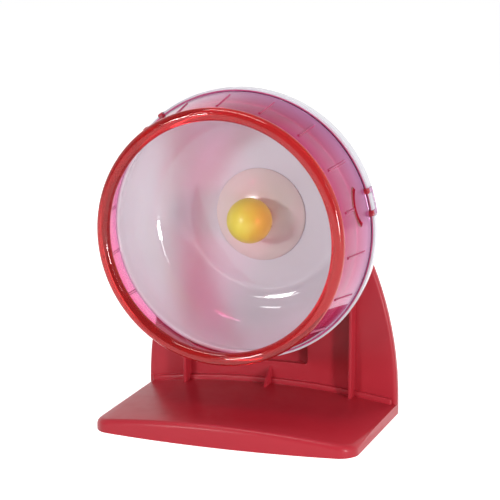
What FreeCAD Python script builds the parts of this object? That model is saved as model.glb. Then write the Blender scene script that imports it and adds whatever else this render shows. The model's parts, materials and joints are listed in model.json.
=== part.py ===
import FreeCAD, Part
import os
import Sketcher
from FreeCAD import Vector

# A rodent exercise wheel on an upright stand, in millimetres.
# The frame has X to the right, Y to the back and Z up.
# Its origin is on the floor, under the middle of the stand.
# Pieces on the axle are drawn about their own Z axis, which points to the front, from the bowl's rear face.

doc = FreeCAD.newDocument("exercise_wheel")
sheet = doc.addObject("Spreadsheet::Sheet", "dim")

SIZES = {
    # Stand base
    "base_width": 145.0,
    "base_depth": 92.0,
    "base_middle_height": 11.8,
    "base_edge_height": 5.8,
    "base_front_bow": 6.0,
    "base_corner_round": 9.0,
    "base_top_round": 3.0,
    "stand_wall": 2.4,
    # Stand back plate
    "plate_thickness": 5.5,
    "plate_shoulder_height": 8.0,
    "plate_side_radius": 192.0,
    "plate_edge_round": 1.8,
    "ledge_height": 3.0,
    "ledge_reach": 2.0,
    "rib_inset": 3.15,
    "rib_width": 1.7,
    "rib_reach": 8.0,
    "rib_top": 96.0,
    "gusset_width": 1.8,
    "gusset_reach": 11.5,
    "gusset_height": 9.5,
    "pocket_width": 42.6,
    "pocket_height": 10.0,
    "pocket_sill": 24.0,
    "pocket_corner": 1.6,
    "pocket_wall": 1.6,
    "pocket_floor": 1.2,
    "boss_radius": 8.0,
    "boss_height": 1.5,
    "rear_boss_radius": 10.5,
    # Axle and knob
    "axle_height": 110.0,
    "axle_radius": 3.0,
    "axle_hole_clearance": 0.1,
    "slide_fit": 0.02,
    "axle_thread_in_knob": 11.0,
    "bolt_head_width": 10.0,
    "bolt_head_height": 4.0,
    "bolt_head_clearance": 0.2,
    "collar_radius": 4.4,
    "washer_radius": 5.2,
    "washer_thickness": 1.0,
    "knob_radius": 12.1,
    "knob_reach": 13.0,
    "knob_neck_radius": 7.2,
    "insert_radius": 4.4,
    "insert_length": 10.0,
    # Bearings
    "bearing_radius": 8.5,
    "bearing_width": 6.0,
    "bearing_spacing": 10.0,
    "race_thickness": 1.55,
    "ball_radius": 1.5,
    "ball_play": 0.15,
    "cage_thickness": 1.0,
    "cage_width": 4.2,
    "spacer_thickness": 1.2,
    "clip_thickness": 1.0,
    "clip_width": 1.6,
    "clip_groove_depth": 0.5,
    "clip_play": 0.05,
    # Hub
    "hub_wall": 2.5,
    "hub_fit": 0.15,
    "hub_tail": 1.0,
    "hub_lip": 1.2,
    "running_gap": 0.6,
    "dome_radius": 25.1,
    "dome_rim": 1.0,
    "dome_rim_width": 2.6,
    "dome_rise": 6.4,
    "dome_wall": 1.8,
    "dome_over_lip": 1.5,
    "screw_circle": 15.5,
    "screw_radius": 1.25,
    "screw_length": 5.2,
    "screw_head_radius": 2.6,
    "screw_head_height": 1.8,
    "screw_boss_radius": 3.0,
    "screw_boss_height": 4.0,
    "screw_hole_clearance": 0.3,
    # Bowl
    "plate_to_bowl": 13.8,
    "bowl_wall": 2.2,
    "bowl_radius": 72.2,
    "bowl_corner_radius": 30.0,
    "bowl_inner_corner_radius": 28.0,
    "bowl_shoulder": 31.8,
    "bowl_spigot": 14.0,
    "spigot_wall": 1.8,
    "spigot_fit": 0.15,
    # Front ring
    "ring_step": 1.6,
    "ring_taper": 5.4,
    "ring_length": 32.2,
    "ring_wall": 1.7,
    "rim_radius": 3.4,
    "rim_inset": 1.8,
    "rim_lead": 3.6,
    "grip_rib_width": 1.6,
    "grip_rib_height": 0.6,
    "grip_rib_start": 7.5,
    "grip_rib_length": 19.5,
    "short_rib_length": 10.0,
    "tab_angle": 13.6,
    "tab_leg_spacing": 11.7,
    "tab_leg_width": 2.8,
    "tab_reach": 5.6,
    "tab_root": 2.4,
    "tab_bar": 1.7,
    "tab_height": 1.2,
    "tab_gap": 0.15,
    "tab_recess": 1.2,
    "tab_clearance": 0.4,
    "catch_width": 8.4,
    "slot_radius": 11.7,
    "slot_offset": 4.0,
    "slot_width": 2.0,
    "slot_half_chord": 9.5,
}
RIB_STEPS_PER_TAB = 6
TABS = 3
HUB_SCREWS = 3
BEARING_BALLS = 7
# How near two places count as the same, when edges are picked
NEAR = 0.01
TINY = 1e-6

for row, (name, size) in enumerate(SIZES.items(), start=1):
    sheet.set(f"A{row}", name)
    sheet.set(f"B{row}", str(size))
    sheet.setAlias(f"B{row}", name)
doc.recompute()


def number(expression):
    """The present value of an expression."""
    return float(sheet.evalExpression(str(expression)))


# Helpers for sketches and features

def origin_part(body, role):
    return next(f for f in body.Origin.OriginFeatures if f.Role == role)


def new_body(label):
    body = doc.addObject("PartDesign::Body", label)
    body.Label = label
    return body


def new_sketch(body, name, plane, offset="0", turn=0.0):
    """A sketch on one of the body's planes, moved along its normal and turned about its upright axis."""
    sketch = body.newObject("Sketcher::SketchObject", name)
    sketch.AttachmentSupport = [(origin_part(body, plane), "")]
    sketch.MapMode = "FlatFace"
    sketch.AttachmentOffset = FreeCAD.Placement(Vector(), FreeCAD.Rotation(Vector(0, 1, 0), turn))
    sketch.setExpression("AttachmentOffset.Base.z", offset)
    return sketch


def hold(sketch, kind, places, expression):
    """Adds a constraint and ties its size to an expression."""
    index = sketch.addConstraint(Sketcher.Constraint(kind, *places, number(expression)))
    sketch.setExpression(f"Constraints[{index}]", str(expression))


def hold_point(sketch, edge, end, x, y):
    hold(sketch, "DistanceX", (-1, 1, edge, end), x)
    hold(sketch, "DistanceY", (-1, 1, edge, end), y)


def arc_between(start, end, radius, turn):
    """The arc of a given radius from start to end, under half a turn, turning left or right."""
    chord = end - start
    side = Vector(-chord.y, chord.x, 0).normalize()
    reach = (radius ** 2 - chord.Length ** 2 / 4) ** 0.5
    sign = 1 if turn == "left" else -1
    middle = start + chord * 0.5 + side * (sign * (reach - radius))
    return Part.ArcOfCircle(start, middle, end)


def outline(sketch, corners):
    """A closed outline. A corner is (x, y), or (x, y, radius, turn) where an arc leads to the next."""
    points = [Vector(number(c[0]), number(c[1]), 0) for c in corners]
    ends = []
    for i, corner in enumerate(corners):
        start = points[i]
        end = points[(i + 1) % len(points)]
        if len(corner) == 2:
            edge = sketch.addGeometry(Part.LineSegment(start, end))
            ends.append((edge, 1, 2))
        else:
            arc = arc_between(start, end, number(corner[2]), corner[3])
            edge = sketch.addGeometry(arc)
            first_end = sketch.getPoint(edge, 1)
            starts_here = (first_end - start).Length < (first_end - end).Length
            ends.append((edge, 1, 2) if starts_here else (edge, 2, 1))
            hold(sketch, "Radius", (edge,), corner[2])
    for i, corner in enumerate(corners):
        edge, first, last = ends[i]
        next_edge, next_first, _ = ends[(i + 1) % len(ends)]
        sketch.addConstraint(Sketcher.Constraint("Coincident", edge, last, next_edge, next_first))
        hold_point(sketch, edge, first, corner[0], corner[1])


def circle(sketch, x, y, radius):
    centre = Vector(number(x), number(y), 0)
    edge = sketch.addGeometry(Part.Circle(centre, Vector(0, 0, 1), number(radius)))
    hold_point(sketch, edge, 3, x, y)
    hold(sketch, "Radius", (edge,), radius)


def box_outline(sketch, left, bottom, right, top):
    outline(sketch, [(left, bottom), (right, bottom), (right, top), (left, top)])


def feature(body, kind, name, sketch, length=None, both_ways=False, reverse=False):
    """A pad or a pocket of a sketch. A pocket without a length goes through everything."""
    made = body.newObject(f"PartDesign::{kind}", name)
    made.Profile = sketch
    made.SideType = "Symmetric" if both_ways else "One side"
    made.Reversed = reverse
    if length is None:
        made.Type = "ThroughAll"
    else:
        made.setExpression("Length", str(length))
    sketch.Visibility = False
    doc.recompute()
    return made


def turn_solid(body, name, corners):
    """A revolved solid from an outline of (radius, distance to the front)."""
    sketch = new_sketch(body, f"{name}_profile", "XZ_Plane")
    outline(sketch, corners)
    made = body.newObject("PartDesign::Revolution", name)
    made.Profile = sketch
    made.ReferenceAxis = (origin_part(body, "Z_Axis"), [""])
    made.Angle = 360
    doc.recompute()
    return made


def repeat_around(body, name, features, count):
    pattern = body.newObject("PartDesign::PolarPattern", name)
    pattern.Originals = features
    pattern.Axis = (origin_part(body, "Z_Axis"), [""])
    pattern.Angle = 360
    pattern.Occurrences = count
    body.Tip = pattern
    doc.recompute()
    return pattern


def round_edges(body, name, edges, radius):
    """Fillets the named edges of the body's present tip."""
    base = body.Tip
    made = body.newObject("PartDesign::Fillet", name)
    made.Base = (base, edges)
    made.setExpression("Radius", str(radius))
    doc.recompute()
    return made


# Places worked out from the sizes

half_width = "dim.base_width / 2"
half_depth = "dim.base_depth / 2"
plate_front = "(dim.base_depth / 2 - dim.plate_thickness)"
bowl_back = "(dim.base_depth / 2 - dim.plate_thickness - dim.plate_to_bowl)"
crown_drop = "(dim.base_middle_height - dim.base_edge_height)"
crown_radius = f"((({half_width}) ^ 2 + {crown_drop} ^ 2) / (2 * {crown_drop}))"

# Along the axle, to the front from the bowl's rear face
front_race_front = "(dim.bowl_wall + dim.dome_rim + dim.dome_rise - dim.dome_over_lip - dim.hub_lip)"
front_race_back = f"({front_race_front} - dim.bearing_width)"
rear_race_front = f"({front_race_front} - dim.bearing_spacing)"
rear_race_back = f"({rear_race_front} - dim.bearing_width)"
boss_front = "(dim.boss_height - dim.plate_to_bowl)"
plate_back = "(-dim.plate_to_bowl - dim.plate_thickness)"
washer_front = f"({front_race_front} + dim.washer_thickness)"
insert_front = f"({washer_front} + dim.insert_length)"
hub_radius = "(dim.bearing_radius + dim.hub_wall)"
hub_back = f"({rear_race_back} - dim.clip_thickness - dim.clip_play * 2 - dim.hub_tail)"
lip_front = f"({front_race_front} + dim.hub_lip)"
inner_race_radius = "(dim.axle_radius + dim.race_thickness)"
outer_race_inside = "(dim.bearing_radius - dim.race_thickness)"
ball_circle = "((dim.axle_radius + dim.bearing_radius) / 2)"
groove_radius = "(dim.ball_radius + dim.ball_play)"
ring_rear = "dim.bowl_shoulder"
ring_slope = "(dim.ring_taper / dim.ring_length)"
ring_rear_radius = "(dim.bowl_radius - dim.ring_step)"
rim_middle_radius = f"({ring_rear_radius} - dim.ring_taper - dim.rim_inset)"
tab_seat = "(dim.bowl_radius - dim.tab_recess)"
tab_under = f"({tab_seat} + dim.tab_gap)"
tab_half_span = "(dim.tab_leg_spacing / 2 + dim.tab_leg_width / 2)"


def on_axle(item, turn="0"):
    """Stands a piece that is drawn about its own Z axis on the axle, turned about it."""
    item.setExpression(
        "Placement",
        f"placement(vector(0; {bowl_back}; dim.axle_height); "
        f"rotation(vector(1; 0; 0); 90) * rotation(vector(0; 0; 1); {turn}))",
    )


def edges_where(shape, wanted):
    """The names of the edges that pass a test."""
    return [f"Edge{i}" for i, edge in enumerate(shape.Edges, start=1) if wanted(edge)]


def edge_middle(edge):
    first, last = edge.ParameterRange
    return edge.valueAt((first + last) / 2)


# Stand

def crown_height(x, drop="0"):
    """The height of the crowned base top at a distance from the middle."""
    return f"(dim.base_middle_height - {drop} - {crown_radius} + sqrt({crown_radius} ^ 2 - ({x}) ^ 2))"


def base_block(body, inset, back, drop):
    """The crowned base, or the space inside it when it is inset and dropped."""
    side = f"({half_width} - {inset})"
    front_corner = f"(dim.base_front_bow - {half_depth} + {inset})"
    bow_radius = f"(({side} ^ 2 + dim.base_front_bow ^ 2) / (2 * dim.base_front_bow))"
    plan = new_sketch(body, "base_plan", "XY_Plane")
    outline(plan, [
        (f"-{side}", front_corner, bow_radius, "left"),
        (side, front_corner),
        (side, back),
        (f"-{side}", back),
    ])
    feature(body, "Pad", "base_pad", plan, "dim.base_middle_height")
    overlap = f"({half_width} + 2)"
    crown = new_sketch(body, "crown_section", "XZ_Plane")
    outline(crown, [
        (f"-{overlap}", crown_height(overlap, drop), crown_radius, "right"),
        (overlap, crown_height(overlap, drop)),
        (overlap, "dim.base_middle_height + 5"),
        (f"-{overlap}", "dim.base_middle_height + 5"),
    ])
    feature(body, "Pocket", "crown_cut", crown, "dim.base_depth * 2", both_ways=True)


def plate_outline(inset, bottom):
    """The back plate's outline: upright shoulders, long side arcs and an arc about the axle."""
    side_radius = f"(dim.plate_side_radius - {inset})"
    side_centre = f"({half_width} - dim.plate_side_radius)"
    rise = "(dim.axle_height - dim.plate_shoulder_height)"
    reach = f"sqrt({side_centre} ^ 2 + {rise} ^ 2)"
    top_radius = f"({side_radius} - {reach})"
    join_x = f"({side_centre} - {side_radius} * {side_centre} / {reach})"
    join_z = f"(dim.plate_shoulder_height + {side_radius} * {rise} / {reach})"
    low = f"sqrt({side_radius} ^ 2 - ({bottom} - dim.plate_shoulder_height) ^ 2)"
    foot = f"({side_centre} + {low})"
    return [
        (f"-{foot}", bottom),
        (foot, bottom, side_radius, "left"),
        (join_x, join_z, top_radius, "left"),
        (f"-{join_x}", join_z, side_radius, "left"),
    ]


def hexagon(sketch, x, y, across_flats):
    corner = 1 / 3 ** 0.5
    half = 0.5
    across = f"({across_flats})"
    outline(sketch, [
        (f"{x} + {across} * {corner}", y),
        (f"{x} + {across} * {corner} / 2", f"{y} + {across} * {half}"),
        (f"{x} - {across} * {corner} / 2", f"{y} + {across} * {half}"),
        (f"{x} - {across} * {corner}", y),
        (f"{x} - {across} * {corner} / 2", f"{y} - {across} * {half}"),
        (f"{x} + {across} * {corner} / 2", f"{y} - {across} * {half}"),
    ])


def outside_tray(spot):
    """True on the plate's outer outline and False on its openings."""
    side_radius = number("dim.plate_side_radius")
    side_centre = number(f"{half_width} - dim.plate_side_radius")
    rise = number("dim.axle_height - dim.plate_shoulder_height")
    top_radius = side_radius - (side_centre ** 2 + rise ** 2) ** 0.5
    across = abs(spot.x) - side_centre
    up = spot.z - number("dim.plate_shoulder_height")
    from_side = side_radius - (across ** 2 + up ** 2) ** 0.5
    from_top = top_radius - (spot.x ** 2 + (spot.z - number("dim.axle_height")) ** 2) ** 0.5
    return min(abs(from_side), abs(from_top)) < NEAR


def make_stand():
    body = new_body("stand_solid")
    base_block(body, "0", half_depth, "0")
    front = -number(half_depth) + number("dim.base_front_bow")
    middle = number("dim.base_edge_height") / 2

    def at_front_corner(edge):
        ends = [v.Point for v in edge.Vertexes]
        upright = len(ends) == 2 and abs(ends[0].x - ends[1].x) < TINY
        return upright and abs(ends[0].y - front) < TINY and abs(edge_middle(edge).z - middle) < NEAR

    round_edges(body, "front_corners", edges_where(body.Tip.Shape, at_front_corner), "dim.base_corner_round")
    edge_height = number("dim.base_edge_height")
    back = number(half_depth)

    def on_top_rim(edge):
        return min(v.Z for v in edge.Vertexes) > edge_height - NEAR and edge_middle(edge).y < back - NEAR

    round_edges(body, "base_top_edges", edges_where(body.Tip.Shape, on_top_rim), "dim.base_top_round")

    # The plate, with its step along the base, its ribs and the axle boss
    at_back = f"-{half_depth}"
    at_face = f"-{plate_front}"
    plate = new_sketch(body, "plate_outline", "XZ_Plane", at_back)
    foot = f"({half_width})"
    shoulders = plate_outline("0", "dim.plate_shoulder_height")
    outline(plate, [(f"-{foot}", "0"), (foot, "0")] + shoulders[1:] + shoulders[:1])
    feature(body, "Pad", "plate", plate, "dim.plate_thickness")

    edge = f"({half_width} - dim.plate_edge_round - 0.4)"
    ledge = new_sketch(body, "ledge_section", "XZ_Plane", at_face)
    outline(ledge, [
        (f"-{edge}", "dim.base_edge_height / 2"),
        (edge, "dim.base_edge_height / 2"),
        (edge, f"{crown_height(edge)} + dim.ledge_height", crown_radius, "left"),
        (f"-{edge}", f"{crown_height(edge)} + dim.ledge_height"),
    ])
    feature(body, "Pad", "ledge", ledge, "dim.ledge_reach")

    # Each rib stands a little inside the plate's side arc, at the height where the rib ends
    ribs = new_sketch(body, "rib_section", "XZ_Plane", at_face)
    rib_rise = "(dim.rib_top - dim.plate_shoulder_height)"
    side_at_top = f"(sqrt(dim.plate_side_radius ^ 2 - {rib_rise} ^ 2) - dim.plate_side_radius)"
    rib_place = f"({half_width} + {side_at_top} - dim.rib_inset)"
    for sign in (-1, 1):
        middle = f"({sign} * {rib_place})"
        box_outline(
            ribs, f"{middle} - dim.rib_width / 2", "dim.base_edge_height / 2",
            f"{middle} + dim.rib_width / 2", "dim.rib_top",
        )
    feature(body, "Pad", "ribs", ribs, "dim.rib_reach")

    gusset = new_sketch(body, "gusset_side", "YZ_Plane")
    foot = "dim.base_middle_height - dim.stand_wall / 2"
    outline(gusset, [
        (f"{plate_front} - dim.gusset_reach", foot),
        (f"{plate_front} + 1", foot),
        (f"{plate_front} + 1", "dim.base_middle_height + dim.gusset_height"),
        (plate_front, "dim.base_middle_height + dim.gusset_height"),
    ])
    feature(body, "Pad", "gusset", gusset, "dim.gusset_width", both_ways=True)

    boss = new_sketch(body, "boss_circle", "XZ_Plane", at_face)
    circle(boss, "0", "dim.axle_height", "dim.boss_radius")
    feature(body, "Pad", "axle_boss", boss, "dim.boss_height")

    # Cuts: the tray, the front pocket with walls of its own in the tray, the axle hole and the bolt seat
    side = "(dim.pocket_width / 2)"
    top = "(dim.pocket_sill + dim.pocket_height)"
    tray = new_sketch(body, "tray_outline", "XZ_Plane", at_back)
    outline(tray, plate_outline("dim.stand_wall", "dim.base_middle_height + dim.stand_wall"))
    circle(tray, "0", "dim.axle_height", "dim.rear_boss_radius")
    box_outline(
        tray, f"-{side} - dim.pocket_wall", "dim.pocket_sill - dim.pocket_wall",
        f"{side} + dim.pocket_wall", f"{top} + dim.pocket_wall",
    )
    feature(body, "Pocket", "tray", tray, "dim.plate_thickness - dim.stand_wall", reverse=True)

    pocket = new_sketch(body, "pocket_outline", "XZ_Plane", at_face)
    outline(pocket, [
        (f"-{side} + dim.pocket_corner", "dim.pocket_sill"),
        (f"{side} - dim.pocket_corner", "dim.pocket_sill", "dim.pocket_corner", "left"),
        (side, "dim.pocket_sill + dim.pocket_corner"),
        (side, f"{top} - dim.pocket_corner", "dim.pocket_corner", "left"),
        (f"{side} - dim.pocket_corner", top),
        (f"-{side} + dim.pocket_corner", top, "dim.pocket_corner", "left"),
        (f"-{side}", f"{top} - dim.pocket_corner"),
        (f"-{side}", "dim.pocket_sill + dim.pocket_corner", "dim.pocket_corner", "left"),
    ])
    feature(body, "Pocket", "front_pocket", pocket, "dim.plate_thickness - dim.pocket_floor")

    hole = new_sketch(body, "axle_hole", "XZ_Plane", at_back)
    circle(hole, "0", "dim.axle_height", "dim.axle_radius + dim.axle_hole_clearance")
    feature(body, "Pocket", "axle_bore", hole, "dim.plate_thickness + dim.boss_height + 1", reverse=True)

    seat = new_sketch(body, "bolt_seat", "XZ_Plane", at_back)
    hexagon(seat, "0", "dim.axle_height", "dim.bolt_head_width + 2 * dim.bolt_head_clearance")
    seat_depth = "dim.bolt_head_height + dim.bolt_head_clearance"
    feature(body, "Pocket", "bolt_recess", seat, seat_depth, reverse=True)

    # The plate's outer edges, back and front
    shoulder = number("dim.plate_shoulder_height")
    faces = {"plate_back_edges": number(half_depth), "plate_front_edges": number(plate_front)}
    for name, place in faces.items():
        def on_outline(edge):
            spot = edge_middle(edge)
            flat = all(abs(v.Y - place) < NEAR and v.Z > shoulder - NEAR for v in edge.Vertexes)
            return flat and abs(spot.y - place) < NEAR and outside_tray(spot)

        round_edges(body, name, edges_where(body.Tip.Shape, on_outline), "dim.plate_edge_round")

    space = new_body("base_space")
    base_block(space, "dim.stand_wall", plate_front, "dim.stand_wall")

    stand = doc.addObject("Part::Cut", "stand")
    stand.Base = body
    stand.Tool = space
    stand.Label = "stand"
    doc.recompute()
    return stand


# Bowl, ring and hub

def ring_radius(place):
    """The ring's outer radius at a distance to the front."""
    return f"({ring_rear_radius} - {ring_slope} * ({place} - {ring_rear}))"


def make_bowl():
    body = new_body("rear_bowl")
    spigot_front = "(dim.bowl_shoulder + dim.bowl_spigot)"
    fit = "(dim.ring_wall + dim.spigot_fit)"
    lip = f"({ring_radius(spigot_front)} - {fit} - dim.spigot_wall)"
    hole = f"({hub_radius} + dim.hub_fit)"
    corner = "dim.bowl_inner_corner_radius"
    slant = f"sqrt(1 + {ring_slope} ^ 2)"
    corner_middle = f"(dim.bowl_wall + {corner})"
    corner_centre = f"({lip} + {ring_slope} * ({spigot_front} - {corner_middle}) - {corner} * {slant})"
    corner_end = f"{corner_centre} + {corner} / {slant}"
    turn_solid(body, "bowl", [
        (hole, "0"),
        ("dim.bowl_radius - dim.bowl_corner_radius", "0", "dim.bowl_corner_radius", "left"),
        ("dim.bowl_radius", "dim.bowl_corner_radius"),
        ("dim.bowl_radius", "dim.bowl_shoulder"),
        (f"{ring_radius(ring_rear)} - {fit}", "dim.bowl_shoulder"),
        (f"{ring_radius(spigot_front)} - {fit}", spigot_front),
        (lip, spigot_front),
        (corner_end, f"{corner_middle} + {corner} * {ring_slope} / {slant}", corner, "right"),
        (corner_centre, "dim.bowl_wall"),
        (hole, "dim.bowl_wall"),
    ])

    # A flat recess for each snap loop, with a catch that the loop hooks over
    recess = new_sketch(body, "recess_section", "XZ_Plane")
    recess_back = "(dim.bowl_shoulder - dim.tab_reach - dim.tab_clearance)"
    box_outline(recess, tab_seat, recess_back, "dim.bowl_radius + 2", "dim.bowl_shoulder + 1")
    recess_width = f"2 * ({tab_half_span} + dim.tab_clearance)"
    recess_cut = feature(body, "Pocket", "tab_recess", recess, recess_width, both_ways=True)
    repeat_around(body, "tab_recesses", [recess_cut], TABS)
    catch = new_sketch(body, "catch_section", "XZ_Plane")
    catch_back = "(dim.bowl_shoulder - dim.tab_reach + dim.tab_bar + dim.tab_gap)"
    catch_front = "(dim.bowl_shoulder - dim.tab_gap)"
    catch_foot = f"({tab_seat} - dim.bowl_wall / 4)"
    catch_top = f"({tab_under} + dim.tab_height * 0.8)"
    outline(catch, [
        (catch_foot, catch_back),
        (catch_top, catch_back),
        (catch_top, f"({catch_back} + {catch_front}) / 2"),
        (tab_seat, catch_front),
        (catch_foot, catch_front),
    ])
    wedge = feature(body, "Pad", "catch", catch, "dim.catch_width", both_ways=True)
    repeat_around(body, "catches", [wedge], TABS)
    screw_hole = new_sketch(body, "screw_hole", "XY_Plane")
    circle(screw_hole, "dim.screw_circle", "0", "dim.screw_radius + dim.screw_hole_clearance")
    bore = feature(body, "Pocket", "screw_bore", screw_hole, "dim.bowl_wall + 1", reverse=True)
    repeat_around(body, "screw_bores", [bore], HUB_SCREWS)
    on_axle(body, "dim.tab_angle")
    return body


def rim_meeting(wall_radius):
    """Where a wall, given by its radius at the ring's rear edge, runs into the round rim."""
    rim_place = f"({ring_rear} + dim.ring_length + dim.rim_lead)"
    ahead = f"({wall_radius} - {ring_slope} * (dim.ring_length + dim.rim_lead) - {rim_middle_radius})"
    slant = f"(1 + {ring_slope} ^ 2)"
    root = f"sqrt({ahead} ^ 2 * {ring_slope} ^ 2 - {slant} * ({ahead} ^ 2 - dim.rim_radius ^ 2))"
    step = f"(({ahead} * {ring_slope} - {root}) / {slant})"
    return f"{rim_middle_radius} + {ahead} - {ring_slope} * {step}", f"{rim_place} + {step}"


def rib_section(body, name, start, length, turn):
    """A grip rib's section, standing on the ring's outer face."""
    end = f"({start} + {length})"
    sketch = new_sketch(body, f"{name}_section", "XZ_Plane", turn=turn)
    outline(sketch, [
        (f"{ring_radius(start)} - dim.ring_wall / 2", start),
        (f"{ring_radius(start)} + dim.grip_rib_height", start),
        (f"{ring_radius(end)} + dim.grip_rib_height", end),
        (f"{ring_radius(end)} - dim.ring_wall / 2", end),
    ])
    return feature(body, "Pad", name, sketch, "dim.grip_rib_width", both_ways=True)


def make_ring():
    body = new_body("front_ring")
    outer = ring_rear_radius
    inner = f"({ring_rear_radius} - dim.ring_wall)"
    outer_end = rim_meeting(outer)
    inner_end = rim_meeting(inner)
    rim_place = f"({ring_rear} + dim.ring_length + dim.rim_lead)"
    turn_solid(body, "ring", [
        (outer, ring_rear),
        (outer_end[0], outer_end[1], "dim.rim_radius", "left"),
        (rim_middle_radius, f"{rim_place} + dim.rim_radius", "dim.rim_radius", "left"),
        (f"{rim_middle_radius} - dim.rim_radius", rim_place, "dim.rim_radius", "left"),
        (inner_end[0], inner_end[1]),
        (inner, ring_rear),
    ])

    # Grip ribs: long ones all round, and a short one ahead of each snap loop
    rib_start = f"({ring_rear} + dim.grip_rib_start)"
    short_start = f"({rib_start} + dim.grip_rib_length - dim.short_rib_length)"
    step = 360 / (TABS * RIB_STEPS_PER_TAB)
    ribs = [rib_section(body, "short_rib", short_start, "dim.short_rib_length", 0.0)]
    for k in range(1, RIB_STEPS_PER_TAB):
        ribs.append(rib_section(body, f"grip_rib_{k}", rib_start, "dim.grip_rib_length", k * step))
    repeat_around(body, "grip_ribs", ribs, TABS)

    # Snap loops: two legs with a bar, on roots that stand on the ring's rear edge
    back = f"({ring_rear} - dim.tab_reach)"
    root = f"({ring_rear} + dim.tab_root)"
    half_inside = "(dim.tab_leg_spacing / 2 - dim.tab_leg_width / 2)"
    loop = new_sketch(body, "loop_outline", "YZ_Plane", tab_under)
    box_outline(loop, f"-{tab_half_span}", back, tab_half_span, root)
    box_outline(loop, f"-{half_inside}", f"{back} + dim.tab_bar", half_inside, ring_rear)
    loop_pad = feature(body, "Pad", "snap_loop", loop, "dim.tab_height")
    foot = f"({ring_rear_radius} - dim.ring_wall * 0.7)"
    roots = new_sketch(body, "root_outline", "YZ_Plane", foot)
    for sign in (-1, 1):
        near = f"({sign} * dim.tab_leg_spacing / 2)"
        half_leg = "dim.tab_leg_width / 2"
        box_outline(roots, f"{near} - {half_leg}", ring_rear, f"{near} + {half_leg}", root)
    root_pad = feature(body, "Pad", "snap_roots", roots, f"{tab_under} + dim.tab_height / 2 - {foot}")
    repeat_around(body, "snap_loops", [root_pad, loop_pad], TABS)

    # Curved relief slots around the loops
    slot_middle = f"({ring_rear} + dim.slot_offset)"
    wide = "(dim.slot_radius + dim.slot_width / 2)"
    narrow = "(dim.slot_radius - dim.slot_width / 2)"
    across = "(dim.slot_half_chord / dim.slot_radius)"
    ahead = f"sqrt(1 - {across} ^ 2)"
    slot = new_sketch(body, "slot_outline", "YZ_Plane")
    outline(slot, [
        (f"-{wide} * {across}", f"{slot_middle} + {wide} * {ahead}", wide, "right"),
        (f"{wide} * {across}", f"{slot_middle} + {wide} * {ahead}"),
        (f"{narrow} * {across}", f"{slot_middle} + {narrow} * {ahead}", narrow, "left"),
        (f"-{narrow} * {across}", f"{slot_middle} + {narrow} * {ahead}"),
    ])
    cut = feature(body, "Pocket", "relief_slot", slot, f"{ring_rear_radius} + 2", reverse=True)
    repeat_around(body, "relief_slots", [cut], TABS)
    on_axle(body, "dim.tab_angle")
    return body


def make_hub():
    body = new_body("hub")
    bore = "(dim.bearing_radius + dim.slide_fit)"
    hole = "(dim.knob_neck_radius + dim.running_gap)"
    seat = "dim.bowl_wall"
    rim_top = "(dim.bowl_wall + dim.dome_rim)"
    below = f"((dim.dome_radius ^ 2 - {hole} ^ 2 - dim.dome_rise ^ 2) / (2 * dim.dome_rise))"
    sphere = f"sqrt(dim.dome_radius ^ 2 + {below} ^ 2)"
    under = f"({sphere} - dim.dome_wall)"
    rim_inside = "(dim.dome_radius - dim.dome_rim_width)"
    groove_front = rear_race_back
    groove_back = f"({rear_race_back} - dim.clip_thickness - 2 * dim.clip_play)"
    turn_solid(body, "hub_solid", [
        (bore, hub_back),
        (hub_radius, hub_back),
        (hub_radius, f"{rim_top} - {below} + sqrt({under} ^ 2 - {hub_radius} ^ 2)", under, "right"),
        (rim_inside, f"{rim_top} - {below} + sqrt({under} ^ 2 - {rim_inside} ^ 2)"),
        (rim_inside, seat),
        ("dim.dome_radius", seat),
        ("dim.dome_radius", rim_top, sphere, "left"),
        (hole, f"{rim_top} + dim.dome_rise"),
        (hole, lip_front),
        (outer_race_inside, lip_front),
        (outer_race_inside, front_race_front),
        (bore, front_race_front),
        (bore, groove_front),
        (f"{bore} + dim.clip_groove_depth", groove_front),
        (f"{bore} + dim.clip_groove_depth", groove_back),
        (bore, groove_back),
    ])
    boss = new_sketch(body, "screw_boss", "XY_Plane", seat)
    circle(boss, "dim.screw_circle", "0", "dim.screw_boss_radius")
    boss_pad = feature(body, "Pad", "screw_boss_pad", boss, "dim.screw_boss_height")
    repeat_around(body, "screw_bosses", [boss_pad], HUB_SCREWS)
    pilot = new_sketch(body, "screw_pilot", "XY_Plane", seat)
    circle(pilot, "dim.screw_circle", "0", "dim.screw_radius + dim.slide_fit")
    pilot_cut = feature(body, "Pocket", "screw_pilot_bore", pilot,
                        "dim.screw_length - dim.bowl_wall + dim.running_gap / 2", reverse=True)
    repeat_around(body, "screw_pilots", [pilot_cut], HUB_SCREWS)
    on_axle(body, "dim.tab_angle")
    return body


def make_hub_screws():
    body = new_body("hub_screws")
    body.AllowCompound = True
    shank = new_sketch(body, "shank_circle", "XY_Plane")
    circle(shank, "dim.screw_circle", "0", "dim.screw_radius")
    shank_pad = feature(body, "Pad", "shank", shank, "dim.screw_length")
    head = new_sketch(body, "head_circle", "XY_Plane")
    circle(head, "dim.screw_circle", "0", "dim.screw_head_radius")
    head_pad = feature(body, "Pad", "head", head, "dim.screw_head_height", reverse=True)
    repeat_around(body, "screws", [shank_pad, head_pad], HUB_SCREWS)
    on_axle(body, "dim.tab_angle")
    return body


# Axle pieces

def make_tube(label, inside, outside, back, front):
    body = new_body(label)
    turn_solid(body, f"{label}_tube", [(inside, back), (outside, back), (outside, front), (inside, front)])
    on_axle(body)
    return body


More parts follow.
